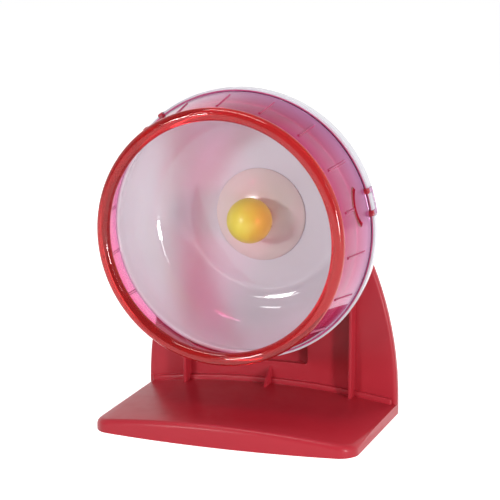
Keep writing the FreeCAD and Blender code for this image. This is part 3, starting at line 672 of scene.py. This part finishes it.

# %% [markdown]
# ## The clear ring
# The ring's wall narrows to the front and ends in a thick round rim. Its grip ribs are columns of the
# wall's own faces, pulled out a little: with a step of four thirds of a degree, one column is as wide as a
# rib. The sides of the ribs and the thin lip at the rear edge get a darker finish. Edges of clear plastic
# do gather its colour; beyond that, the finish paints the dark lines that bent light gives these edges,
# as painted shade.

# %% Turn the ring and raise its ribs
RIM_RADIUS = 3.4
RIM_MIDDLE_RADIUS = 63.4
RIM_AHEAD = 3.6
RIM_PLACE = SHOULDER + RING_LENGTH + RIM_AHEAD
RIM_SEAM = 0.03
RING_SEGMENTS = 270
RIB_HEIGHT = 0.6
RIB_SLOPE = 0.45
RIB_START = SHOULDER + 7.5
RIB_LENGTH = 19.5
SHORT_RIB_LENGTH = 10.0
RIB_FOOT = 0.1
RIB_STEP = 20
NEAR_RIB = 0.5
TAB_STEP = 120
NEAR_TAB = 5
RING_GAP = 0.05
RING_LIP = 0.35
RING_LIP_REACH = 0.5


def rim_angle(wall_radius):
    """The angle on the rim's section where a wall, given by its radius at the rear edge, runs into it."""
    ahead = wall_radius - RING_SLOPE * (RIM_PLACE - SHOULDER) - RIM_MIDDLE_RADIUS
    reach = RIM_RADIUS * math.hypot(1, RING_SLOPE)
    return math.degrees(math.atan(RING_SLOPE) - math.acos(ahead / reach))


def off_step(spot, step):
    """How far a place lies from the nearest multiple of a step round the Z axis, in degrees."""
    angle = math.degrees(math.atan2(spot.y, spot.x))
    return abs((angle + step / 2) % step - step / 2)


def outward(face, least=0.5):
    centre = face.calc_center_median()
    return face.normal.x * centre.x + face.normal.y * centre.y > least * math.hypot(centre.x, centre.y)


def is_rib(face):
    """Faces of the outer wall that a grip rib stands on. By a snap loop the rib is a short one."""
    centre = face.calc_center_median()
    end = RIB_START + RIB_LENGTH
    start = end - SHORT_RIB_LENGTH if off_step(centre, TAB_STEP) < NEAR_TAB else RIB_START
    return outward(face) and off_step(centre, RIB_STEP) < NEAR_RIB and start < centre.z / mm < end


def is_rib_side(face):
    centre = face.calc_center_median()
    above = math.hypot(centre.x, centre.y) / mm - ring_radius(centre.z / mm)
    return above > RIB_FOOT and not outward(face, 0.8)


def is_lip(face):
    centre = face.calc_center_median()
    outside = math.hypot(centre.x, centre.y) / mm > RING_REAR_RADIUS + CLOSE
    return outside and centre.z / mm < SHOULDER + RING_LIP + CLOSE


def make_wall():
    inner_radius = RING_REAR_RADIUS - RING_WALL
    rib_end = RIB_START + RIB_LENGTH
    lip_front = SHOULDER + RING_LIP
    lip_radius = RING_REAR_RADIUS + RING_LIP_REACH
    rear = SHOULDER + RING_GAP
    profile = [(lip_radius, rear), (lip_radius, lip_front)]
    stops = (lip_front, RIB_START, rib_end - SHORT_RIB_LENGTH, rib_end)
    profile += [(ring_radius(stop), stop) for stop in stops]
    profile += arc((RIM_MIDDLE_RADIUS, RIM_PLACE), RIM_RADIUS + RIM_SEAM,
                   rim_angle(RING_REAR_RADIUS), rim_angle(inner_radius), 4)
    profile += straight(profile[-1], (inner_radius, rear), 4)[1:]
    profile += [(inner_radius, rear)]
    ring = turned_piece("clear_wall", profile, RING_SEGMENTS)
    for finish in (clear_pink, edge_pink_painted_shade):
        ring.data.materials.append(finish)
    edit_mode()
    print("rib faces", pick(ring, "faces", is_rib))
    bpy.ops.mesh.inset(thickness=RIB_SLOPE * mm, depth=RIB_HEIGHT * mm)
    # Painted shade: the rib sides and the rear lip get the darker edge finish.
    paint(ring, 1, is_rib_side)
    paint(ring, 1, is_lip)
    leave_edit_mode()
    return ring


def make_rim():
    section = arc((RIM_MIDDLE_RADIUS, RIM_PLACE), RIM_RADIUS, 0, 360, 40)[:-1]
    rim = turned_piece("clear_rim", section, RING_SEGMENTS)
    put_on_axle(rim, TAB_ANGLE)
    smooth(rim, 60.0)
    dress(rim, "wheel", "pink_clear_plastic", clear_red)


ring = make_wall()
make_rim()

# %% [markdown]
# ## The snap loops and their slots
# Three loops hold the ring on the bowl. A curved slot in front of each loop lets that stretch of the wall
# give. The slot is cut with a curved bar, which is made by spinning a small oblong about a point, and the
# loops are bars with two legs pulled out of them. The cut takes over the bar's own darker edge finish, and
# the roots of the loops get it too: partly the colour that edges gather, partly painted shade.

# %% Cut the slots and add the loops
SLOT_RADIUS = 11.7
SLOT_HALF = 9.5
SLOT_REACH = math.asin(SLOT_HALF / SLOT_RADIUS)
SLOT_MIDDLE = SHOULDER + 4.0
SLOT_WIDTH = 2.0
SLOT_BAR_PLACE = 68.0
SLOT_BAR_DEPTH = 8.0
LOOP_SPAN = 14.5
LOOP_LEG = 2.8
LOOP_UNDER = 71.15
LOOP_HEIGHT = 1.2
LOOP_BACK = SHOULDER - 5.6
LOOP_BAR = 1.7
LOOP_FRONT = SHOULDER + 2.4
LOOP_ROOT = 69.4
LOOP_ROUND = 0.5
LOOP_FOOT = 0.6


def make_slot_bar():
    bpy.ops.object.select_all(action="DESELECT")
    start = (SLOT_BAR_PLACE * mm, -SLOT_RADIUS * mm * math.sin(SLOT_REACH),
             (SLOT_MIDDLE + SLOT_RADIUS * math.cos(SLOT_REACH)) * mm)
    bpy.ops.mesh.primitive_plane_add(size=1, location=start, rotation=(math.radians(90) + SLOT_REACH, 0, 0))
    bar = bpy.context.object
    bar.scale = (SLOT_BAR_DEPTH * mm, SLOT_WIDTH * mm, 1)
    apply_place()
    edit_mode()
    bpy.ops.mesh.select_all(action="SELECT")
    pivot = (SLOT_BAR_PLACE * mm, 0, SLOT_MIDDLE * mm)
    bpy.ops.mesh.spin(steps=24, angle=2 * SLOT_REACH, center=pivot, axis=(1, 0, 0))
    point_outwards(merge=True)
    leave_edit_mode()
    # The bar's darker edge finish, partly painted shade, passes to the slot's walls in the cut.
    bar.data.materials.append(edge_red_painted_shade)
    return bar


def make_loop():
    bar = block((LOOP_UNDER, -LOOP_SPAN / 2, LOOP_BACK),
                (LOOP_UNDER + LOOP_HEIGHT, LOOP_SPAN / 2, LOOP_BACK + LOOP_BAR))
    edit_mode()
    leg_inside = LOOP_SPAN / 2 - LOOP_LEG
    for side in (-1, 1):
        slice_at(bar, (0, side * leg_inside, 0), (0, 1, 0))
    pick(bar, "faces", lambda f: faces_up(f) and abs(f.calc_center_median().y) > leg_inside * mm)
    pull(0, 0, SHOULDER - LOOP_BACK - LOOP_BAR)
    pull(0, 0, LOOP_FRONT - SHOULDER)
    pick(bar, "faces", lambda f: f.normal.x < -FACING and f.calc_center_median().z > SHOULDER * mm)
    pull(LOOP_ROOT - LOOP_UNDER, 0, 0)
    point_outwards()
    bpy.ops.mesh.select_all(action="DESELECT")
    bpy.ops.mesh.select_mode(type="EDGE")
    bpy.ops.mesh.edges_select_sharp(sharpness=math.radians(40))
    bevel(LOOP_ROUND, 4)
    for finish in (clear_pink, edge_red_painted_shade):
        bar.data.materials.append(finish)
    # Painted shade, in part: the loops' roots get the darker edge finish.
    paint(bar, 1, lambda f: f.calc_center_median().z > (SHOULDER - LOOP_FOOT) * mm)
    leave_edit_mode()
    return bar


for turn in range(3):
    slot_bar = make_slot_bar()
    slot_bar.rotation_euler = (0, 0, turn * math.radians(TAB_STEP))
    combine(ring, slot_bar, "DIFFERENCE")
for turn in range(3):
    loop = make_loop()
    loop.rotation_euler = (0, 0, turn * math.radians(TAB_STEP))
    combine(ring, loop, "UNION")
put_on_axle(ring, TAB_ANGLE)
smooth(ring)
dress(ring, "wheel", "pink_clear_plastic", clear_pink, "front_ring")

# %% [markdown]
# ## Recesses for the loops
# On the bowl, each loop lies in a flat recess and hooks over a small catch with a sloping front.

# %% Cut the recesses into the bowl
LOOP_ROOM = 0.4
RECESS_FLOOR = 71.0
RECESS_HALF = LOOP_SPAN / 2 + LOOP_ROOM
CATCH_HALF = 4.2
CATCH_TOP = 72.11
CATCH_GAP = 0.15
CATCH_ROOT = 0.5
CATCH_SLOPE = 0.9


def make_recess():
    return block((RECESS_FLOOR, -RECESS_HALF, LOOP_BACK - LOOP_ROOM),
                 (BOWL_RADIUS + 2, RECESS_HALF, SHOULDER + 1))


def make_catch():
    front = SHOULDER - CATCH_GAP
    catch = block((RECESS_FLOOR - CATCH_ROOT, -CATCH_HALF, LOOP_BACK + LOOP_BAR + CATCH_GAP),
                  (CATCH_TOP, CATCH_HALF, front))
    edit_mode()
    pick(catch, "edges", lambda e: all(at(v.co.x, CATCH_TOP) and at(v.co.z, front) for v in e.verts))
    bevel(CATCH_SLOPE, 2)
    leave_edit_mode()
    return catch


for turn in range(3):
    for tool, operation in ((make_recess(), "DIFFERENCE"), (make_catch(), "UNION")):
        tool.data.materials.append(bowl_white)
        tool.rotation_euler = (0, 0, turn * math.radians(TAB_STEP))
        combine(bowl, tool, operation)
put_on_axle(bowl, TAB_ANGLE)
smooth(bowl)
dress(bowl, "wheel", "white_plastic", bowl_white, "rear_bowl")

# %% [markdown]
# ## The hub and the knob
# The cream hub is a shallow dome with a barrel behind it, where the bearings sit. The yellow knob is a ball
# on a short neck that screws on to the axle, so it stays still while the wheel turns.

# %% Turn the hub and the knob
HUB_HOLE = 7.8
HUB_BORE = 8.52
HUB_RADIUS = 11.0
HUB_BACK = -11.2
DOME_RADIUS = 25.1
DOME_RIM_TOP = BOWL_WALL + 1.0
DOME_RISE = 6.4
DOME_WALL = 1.8
HUB_LIP_FRONT = 8.1
RACE_FRONT = 6.9
RACE_INSIDE = 6.95
GROOVE_FRONT = -9.1
GROOVE_BACK = -10.2
GROOVE_DEPTH = 0.5
DOME_FOOT = 2.6
DOME_EDGE = 0.6
KNOB_RADIUS = 12.1
KNOB_PLACE = 20.9
KNOB_NECK = 7.2
KNOB_BACK = 8.7
KNOB_BORE = 3.3
KNOB_BORE_END = 19.5
INSERT_RADIUS = 4.4
INSERT_END = 17.9


def make_hub():
    below = (DOME_RADIUS ** 2 - HUB_HOLE ** 2 - DOME_RISE ** 2) / (2 * DOME_RISE)
    sphere = math.hypot(DOME_RADIUS, below)
    centre = (0.0, DOME_RIM_TOP - below)

    def angle_at(radius, size):
        return math.degrees(math.acos(radius / size))

    under = sphere - DOME_WALL
    rim_inside = DOME_RADIUS - DOME_FOOT
    groove = HUB_BORE + GROOVE_DEPTH
    edge = 0.35
    profile = [(HUB_BORE, HUB_BACK), (HUB_RADIUS - edge, HUB_BACK), (HUB_RADIUS, HUB_BACK + edge)]
    profile += straight((HUB_RADIUS, HUB_BACK + edge), (HUB_RADIUS, BOWL_WALL), 3)[1:]
    profile += arc(centre, under, angle_at(HUB_RADIUS, under), angle_at(rim_inside, under), 8)
    profile += [(rim_inside, BOWL_WALL), (DOME_RADIUS, BOWL_WALL)]
    profile += arc((DOME_RADIUS - edge, DOME_RIM_TOP - edge), edge, 0, 60, 4)
    dome_ends = [angle_at(radius, sphere) for radius in (DOME_RADIUS - DOME_EDGE, HUB_HOLE + edge)]
    profile += arc(centre, sphere, *dome_ends, 18)
    profile += [(HUB_HOLE, DOME_RIM_TOP + DOME_RISE - edge), (HUB_HOLE, HUB_LIP_FRONT)]
    profile += [(RACE_INSIDE, HUB_LIP_FRONT), (RACE_INSIDE, RACE_FRONT), (HUB_BORE, RACE_FRONT)]
    profile += [(HUB_BORE, GROOVE_FRONT), (groove, GROOVE_FRONT)]
    profile += [(groove, GROOVE_BACK), (HUB_BORE, GROOVE_BACK)]
    hub = turned_piece("hub_dome", profile, 120)
    put_on_axle(hub, TAB_ANGLE)
    smooth(hub)
    dress(hub, "wheel", "cream_plastic", hub_cream, "hub")


def make_knob():
    neck_angle = -math.degrees(math.acos(KNOB_NECK / KNOB_RADIUS))
    edge = 0.4
    profile = [(KNOB_BORE, KNOB_BORE_END), (KNOB_BORE, INSERT_END), (INSERT_RADIUS, INSERT_END)]
    profile += [(INSERT_RADIUS, KNOB_BACK), (KNOB_NECK - edge, KNOB_BACK), (KNOB_NECK, KNOB_BACK + edge)]
    ball = arc((0.0, KNOB_PLACE), KNOB_RADIUS, neck_angle, 90, 40)
    profile += ball[:-1] + [(0.0, KNOB_PLACE + KNOB_RADIUS)]
    knob = turned_piece("knob_ball", profile, 120, closed=False)
    put_on_axle(knob)
    smooth(knob, 40.0)
    dress(knob, "stand", "yellow_plastic", knob_yellow, "knob")


make_hub()
make_knob()

# %% [markdown]
# ## The base of the stand
# The base starts as a box that is sliced into columns. Moving each column's top corners down and its front
# corners back bends the box to its crowned top and bowed front. Then its corners and its top edge are
# rounded with bevels, and the underside is inset and pushed up, which leaves a thin hollow moulding.

# %% Model the base
stand_low, stand_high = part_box("stand")
HALF_WIDTH = stand_high.x / mm
BASE_FRONT = stand_low.y / mm
PLATE_BACK = stand_high.y / mm
PLATE_THICKNESS = 5.5
PLATE_FRONT = PLATE_BACK - PLATE_THICKNESS
BASE_BACK = PLATE_FRONT + 2.0
BASE_MIDDLE_HEIGHT = 11.8
BASE_DROP = 6.0
BASE_CORNER = 9.0
BASE_TOP_ROUND = 3.0
STAND_WALL = 2.4
BEND_RADIUS = (HALF_WIDTH ** 2 + BASE_DROP ** 2) / (2 * BASE_DROP)
COLUMN_STEP = 7.5
COLUMNS = [COLUMN_STEP * i for i in range(-8, 9)]


def bend_drop(x):
    """How far the crowned top, or the bowed front, falls away at a distance from the middle."""
    return BEND_RADIUS - math.sqrt(BEND_RADIUS ** 2 - x ** 2)


def crown(x):
    return BASE_MIDDLE_HEIGHT - bend_drop(x)


def slice_columns(piece):
    for x in COLUMNS:
        slice_at(piece, (x, 0, 0), (1, 0, 0))


def make_base():
    base = block((-HALF_WIDTH, BASE_FRONT, 0), (HALF_WIDTH, BASE_BACK, BASE_MIDDLE_HEIGHT))
    edit_mode()
    slice_columns(base)
    for x in [-HALF_WIDTH] + COLUMNS + [HALF_WIDTH]:
        pick(base, "verts", lambda v: at(v.co.x, x) and at(v.co.z, BASE_MIDDLE_HEIGHT))
        move((0, 0, -bend_drop(x)))
        pick(base, "verts", lambda v: at(v.co.x, x) and at(v.co.y, BASE_FRONT))
        move((0, bend_drop(x), 0))
    pick(base, "edges", lambda e: all(abs(v.co.x) > (HALF_WIDTH - 0.1) * mm and v.co.y < 0 for v in e.verts)
         and abs(e.verts[0].co.z - e.verts[1].co.z) > mm)
    bevel(BASE_CORNER, 10)
    pick(base, "edges", lambda e: meets(e, faces_up, upright) and e.verts[0].co.y < (BASE_BACK - 0.1) * mm)
    bevel(BASE_TOP_ROUND, 5)
    pick(base, "faces", faces_down)
    bpy.ops.mesh.inset(thickness=STAND_WALL * mm)
    ceiling = 3.0
    pull(0, 0, ceiling)
    grid = bmesh.from_edit_mesh(base.data)
    places = sorted({round(v.co.x / mm, 3) for v in grid.verts if v.select})
    for x in places:
        pick(base, "verts", lambda v: at(v.co.x, x) and at(v.co.z, ceiling))
        move((0, 0, crown(x) - STAND_WALL - ceiling))
    point_outwards()
    leave_edit_mode()
    return base


base = make_base()
print("base", len(base.data.polygons), "faces")

# %% [markdown]
# ## The back plate
# The plate grows upwards: the top of a low box is extruded level by level and narrowed to the outline,
# first along the long side arcs and then round the arc about the axle. Its flat faces are merged before
# their edges are rounded, so that no short edge is in the way of the bevel. Its back is inset and pushed in
# to a tray. The pocket in its front is deeper than the plate's skin, so a block is joined on behind it
# first, and a block with rounded corners is then cut out of both.

# %% Model the back plate
SHOULDER_HEIGHT = 8.0
SIDE_RADIUS = 192.0
SIDE_CENTRE = HALF_WIDTH - SIDE_RADIUS
AXLE_HEIGHT = AXLE_Z / mm
SIDE_REACH = math.hypot(SIDE_CENTRE, AXLE_HEIGHT - SHOULDER_HEIGHT)
TOP_RADIUS = SIDE_RADIUS - SIDE_REACH
JOIN_HEIGHT = SHOULDER_HEIGHT + SIDE_RADIUS * (AXLE_HEIGHT - SHOULDER_HEIGHT) / SIDE_REACH
PLATE_ROUND = 1.8
TRAY_DEPTH = 3.1
TRAY_EDGE = 0.6
TRAY_BOTTOM = BASE_MIDDLE_HEIGHT + STAND_WALL
POCKET_HALF = 21.3
POCKET_SILL = 24.0
POCKET_TOP = 34.0
POCKET_CORNER = 1.6
POCKET_WALL = 1.6
POCKET_FLOOR = 1.2
POCKET_FLARE = 0.5
POCKET_ROOT = 0.5


def plate_half(height):
    """Half the plate's width at a height."""
    if height <= JOIN_HEIGHT:
        return SIDE_CENTRE + math.sqrt(SIDE_RADIUS ** 2 - (height - SHOULDER_HEIGHT) ** 2)
    return math.sqrt(TOP_RADIUS ** 2 - (height - AXLE_HEIGHT) ** 2)


def plate_levels():
    levels = [TRAY_BOTTOM - TRAY_EDGE, POCKET_SILL, POCKET_TOP]
    side_steps = 14
    levels += [POCKET_TOP + (JOIN_HEIGHT - POCKET_TOP) * i / side_steps for i in range(1, side_steps + 1)]
    join_angle = math.asin((JOIN_HEIGHT - AXLE_HEIGHT) / TOP_RADIUS)
    top_steps = 16
    for i in range(1, top_steps):
        angle = join_angle + (math.pi / 2 - join_angle) * i / top_steps
        levels.append(AXLE_HEIGHT + TOP_RADIUS * math.sin(angle))
    return levels


def make_pocket_walls():
    reach = POCKET_HALF + POCKET_WALL
    return block((-reach, PLATE_BACK - TRAY_DEPTH - POCKET_ROOT, POCKET_SILL - POCKET_WALL),
                 (reach, PLATE_BACK, POCKET_TOP + POCKET_WALL))


def make_pocket_cut():
    lip = PLATE_FRONT + POCKET_FLARE
    cut = block((-POCKET_HALF, lip, POCKET_SILL), (POCKET_HALF, PLATE_BACK - POCKET_FLOOR, POCKET_TOP))
    edit_mode()
    pick(cut, "edges", lambda e: abs(e.verts[0].co.y - e.verts[1].co.y) > mm)
    bevel(POCKET_CORNER, 5)
    pick(cut, "faces", faces_front)
    middle = (0, lip * mm, (POCKET_SILL + POCKET_TOP) / 2 * mm)
    half_width = POCKET_HALF
    half_height = (POCKET_TOP - POCKET_SILL) / 2
    for share in (1 / 3, 2 / 3, 1):
        pull(0, -POCKET_FLARE / 3, 0)
        flare = POCKET_FLARE * (1 - math.sqrt(1 - share ** 2))
        wider = (POCKET_HALF + flare) / half_width
        taller = ((POCKET_TOP - POCKET_SILL) / 2 + flare) / half_height
        bpy.ops.transform.resize(value=(wider, 1, taller), center_override=middle)
        half_width *= wider
        half_height *= taller
    past_the_front = 1.0
    pull(0, -past_the_front, 0)
    point_outwards()
    leave_edit_mode()
    return cut


def make_plate():
    plate = block((-HALF_WIDTH, PLATE_FRONT, 0), (HALF_WIDTH, PLATE_BACK, SHOULDER_HEIGHT))
    edit_mode()
    pick(plate, "faces", faces_up)
    height = SHOULDER_HEIGHT
    width = HALF_WIDTH
    for level in plate_levels():
        pull(0, 0, level - height)
        narrower = plate_half(level) / width
        bpy.ops.transform.resize(value=(narrower, 1, 1), center_override=(0, 0, level * mm))
        height, width = level, plate_half(level)
    point_outwards()
    tray_start = (TRAY_BOTTOM - TRAY_EDGE) * mm
    for region in (faces_front, lambda f: faces_back(f) and f.calc_center_median().z > tray_start):
        pick(plate, "faces", region)
        bpy.ops.mesh.dissolve_faces()

    def outer(face):
        return abs(face.normal.y) < 0.5 and face.normal.z > -0.5

    for side in (faces_front, faces_back):
        pick(plate, "edges", lambda e: meets(e, side, outer))
        bevel(PLATE_ROUND, 5)
    pick(plate, "faces", lambda f: f.normal.y > 0.999 and f.calc_center_median().z > tray_start)
    bpy.ops.mesh.inset(thickness=TRAY_EDGE * mm)
    pull(0, -TRAY_DEPTH, 0)
    point_outwards()
    leave_edit_mode()
    combine(plate, make_pocket_walls(), "UNION")
    combine(plate, make_pocket_cut(), "DIFFERENCE")
    return plate


plate = make_plate()
print("plate", len(plate.data.polygons), "faces")

# %% [markdown]
# ## Ledge, ribs and gusset
# Small stiffeners stand between the plate and the base. Each is a box whose free edges get a narrow bevel,
# because it is the rounded edge of a moulding that shows as a thin line of light.

# %% Add the stiffeners and join the stand
INTO_PLATE = 1.0
INTO_BASE = 3.0
LEDGE_HEIGHT = 3.0
LEDGE_REACH = 2.0
LEDGE_END = 0.7
LEDGE_ROUND = 1.0
RIB_PLACE = 48.0
STAND_RIB_WIDTH = 1.7
STAND_RIB_REACH = 8.0
STAND_RIB_TOP = 96.0
GUSSET_WIDTH = 1.8
GUSSET_REACH = 11.5
GUSSET_TOP = BASE_MIDDLE_HEIGHT + 9.5
FINE_EDGE = 0.4
FRONT_BOSS_RADIUS = 8.0
FRONT_BOSS_REACH = 1.5
REAR_BOSS_RADIUS = 10.5
REAR_BOSS_DEPTH = 4.0
BOLT_HOLE_RADIUS = 3.1
BOLT_SEAT_FLATS = 10.4
BOLT_SEAT_DEPTH = 4.2
HEX_TURN = math.radians(30)


def round_free_edges(piece, wanted, radius=FINE_EDGE):
    edit_mode()
    pick(piece, "edges", wanted)
    bevel(radius, 4)
    leave_edit_mode()
    return piece


def make_ledge():
    half = HALF_WIDTH - PLATE_ROUND - LEDGE_END
    top = BASE_MIDDLE_HEIGHT + LEDGE_HEIGHT
    ledge = block((-half, PLATE_FRONT - LEDGE_REACH, INTO_BASE), (half, PLATE_FRONT + INTO_PLATE, top))
    edit_mode()
    slice_columns(ledge)
    for x in [-half] + COLUMNS + [half]:
        pick(ledge, "verts", lambda v: at(v.co.x, x) and at(v.co.z, top))
        move((0, 0, -bend_drop(x)))
    leave_edit_mode()
    return round_free_edges(
        ledge, lambda e: meets(e, faces_front, lambda f: faces_up(f) or faces_aside(f)), LEDGE_ROUND)


def make_stand_rib(side):
    middle = side * RIB_PLACE
    rib = block((middle - STAND_RIB_WIDTH / 2, PLATE_FRONT - STAND_RIB_REACH, INTO_BASE),
                (middle + STAND_RIB_WIDTH / 2, PLATE_FRONT + INTO_PLATE, STAND_RIB_TOP))
    return round_free_edges(
        rib, lambda e: meets(e, lambda f: faces_front(f) or faces_up(f), lambda f: not faces_back(f)))


def make_gusset():
    foot = BASE_MIDDLE_HEIGHT - 1.0
    front = PLATE_FRONT - GUSSET_REACH
    gusset = block((-GUSSET_WIDTH / 2, front, foot),
                   (GUSSET_WIDTH / 2, PLATE_FRONT + INTO_PLATE, GUSSET_TOP))
    edit_mode()
    pick(gusset, "verts", lambda v: at(v.co.z, GUSSET_TOP) and at(v.co.y, front))
    move((0, GUSSET_REACH, 0))
    leave_edit_mode()
    return round_free_edges(gusset, lambda e: meets(e, lambda f: f.normal.y < -0.3, faces_aside))


def round_bar(radius, back, front, segments=96, turn=0.0):
    """A plain round bar along the axle between two places, as a tool for joining or cutting."""
    bpy.ops.object.select_all(action="DESELECT")
    bpy.ops.mesh.primitive_cylinder_add(
        vertices=segments, radius=radius * mm, depth=abs(back - front) * mm,
        location=(0, (back + front) / 2 * mm, AXLE_Z), rotation=(math.radians(90), turn, 0))
    apply_place()
    return bpy.context.object


def make_stand():
    for tool in (base, make_ledge(), make_stand_rib(-1), make_stand_rib(1), make_gusset(),
                 round_bar(FRONT_BOSS_RADIUS, PLATE_FRONT + INTO_PLATE, PLATE_FRONT - FRONT_BOSS_REACH),
                 round_bar(REAR_BOSS_RADIUS, PLATE_BACK, PLATE_BACK - REAR_BOSS_DEPTH)):
        combine(plate, tool, "UNION")
    combine(plate, round_bar(BOLT_HOLE_RADIUS, PLATE_BACK + 1, PLATE_FRONT - 4), "DIFFERENCE")
    seat_radius = BOLT_SEAT_FLATS / math.sqrt(3)
    seat = round_bar(seat_radius, PLATE_BACK + 2, PLATE_BACK - BOLT_SEAT_DEPTH, 6, HEX_TURN)
    combine(plate, seat, "DIFFERENCE")
    rename(plate, "stand_moulding")
    smooth(plate)
    dress(plate, "stand", "red_plastic", stand_red, "stand")


make_stand()

# %% [markdown]
# ## The screws and the axle bolt
# Three pan head screws hold the hub to the bowl. One is turned, its cross recess is cut with two short
# bars, and it is copied round the axle. The bolt that is the axle sits in the stand with its six-sided head:
# a six-sided bar and a round one with a sloping edge keep only what they share, which leaves the arcs that
# a real bolt head has on its sides.

# %% Model the screws and the bolt
SCREW_CIRCLE = 15.5
SCREW_SHANK = 1.25
SCREW_LENGTH = 5.2
SCREW_HEAD = 2.6
SCREW_HEAD_HEIGHT = 1.8
SCREW_HEAD_EDGE = 0.15
SCREW_HEAD_ROUND = 1.1
CROSS_REACH = 1.4
CROSS_HALF = 0.32
CROSS_DEPTH = 1.0
BOLT_FLATS = 10.0
BOLT_HEAD = 4.0
BOLT_HEAD_SLOPE = 0.6
BOLT_SHANK = 3.0
bolt_low, bolt_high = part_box("axle_bolt")


def make_screw():
    point = 0.3
    profile = [(SCREW_SHANK - point, SCREW_LENGTH), (SCREW_SHANK, SCREW_LENGTH - point), (SCREW_SHANK, 0.0)]
    profile += [(SCREW_HEAD - SCREW_HEAD_EDGE, 0.0), (SCREW_HEAD, -SCREW_HEAD_EDGE)]
    round_start = -SCREW_HEAD_HEIGHT + SCREW_HEAD_ROUND
    flat = SCREW_HEAD - SCREW_HEAD_ROUND
    profile += arc((flat, round_start), SCREW_HEAD_ROUND, 0, -90, 8) + [(0.0, -SCREW_HEAD_HEIGHT)]
    screw = turned_piece("hub_screw_set", profile, 48, closed=False)
    for reach_x, reach_y in ((CROSS_HALF, CROSS_REACH), (CROSS_REACH, CROSS_HALF)):
        recess = block((-reach_x, -reach_y, -SCREW_HEAD_HEIGHT - 1),
                       (reach_x, reach_y, -SCREW_HEAD_HEIGHT + CROSS_DEPTH))
        combine(screw, recess, "DIFFERENCE")
    screw.location = (SCREW_CIRCLE * mm, 0, 0)
    apply_place()
    return screw


def make_screws():
    screws = [make_screw()]
    for turn in (1, 2):
        copy = screws[0].copy()
        copy.data = screws[0].data.copy()
        copy.rotation_euler = (0, 0, turn * math.radians(TAB_STEP))
        bpy.context.scene.collection.objects.link(copy)
        screws.append(copy)
    bpy.ops.object.select_all(action="DESELECT")
    for screw in screws:
        screw.select_set(True)
    bpy.context.view_layer.objects.active = screws[0]
    apply_place()
    bpy.ops.object.join()
    put_on_axle(screws[0], TAB_ANGLE)
    smooth(screws[0])
    dress(screws[0], "wheel", "zinc_steel", zinc, "hub_screws")


def make_bolt():
    back = bolt_high.y / mm
    seat = back - BOLT_HEAD
    front = bolt_low.y / mm
    head_corner = BOLT_FLATS / math.sqrt(3)
    outside = head_corner + 0.2
    end = 0.5
    slope = [(BOLT_FLATS / 2 - 0.3, back), (outside, back - BOLT_HEAD_SLOPE)]
    slope += [(outside, seat - 1), (0.0, seat - 1)]
    shank = [(BOLT_SHANK, seat + 1), (BOLT_SHANK, front + end), (BOLT_SHANK - end, front), (0.0, front)]
    head = round_bar(head_corner, back, seat, 6, HEX_TURN)
    for profile, segments, operation in ((slope, 100, "INTERSECT"), (shank, 72, "UNION")):
        tool = turned_piece("bolt_tool", profile, segments, closed=False)
        tool.rotation_euler = (math.radians(-90), 0, 0)
        tool.location = (AXLE_X, 0, AXLE_Z)
        combine(head, tool, operation)
    rename(head, "axle_bolt_turned")
    smooth(head)
    dress(head, "stand", "zinc_steel", zinc, "axle_bolt")


make_screws()
make_bolt()

# %% [markdown]
# ## Finishes for the pieces inside
# The bearings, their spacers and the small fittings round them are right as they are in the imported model,
# so they stay and only get a better finish.

# %% Give the kept nodes their finishes
KEPT = {
    zinc: ["axle_collar", "front_washer"],
    ground_steel: ["bearing_clip", "inner_spacer", "outer_spacer"],
    brass: ["knob_insert"],
    nylon: ["rear_bearing_cage", "front_bearing_cage"],
}
for end in ("rear", "front"):
    KEPT[ground_steel] += [f"{end}_bearing_{piece}" for piece in ("inner_race", "outer_race", "balls")]
for finish, names in KEPT.items():
    for name in names:
        for holder in nodes[name].material_slots:
            holder.material = finish
print("kept nodes:", sum(len(names) for names in KEPT.values()))
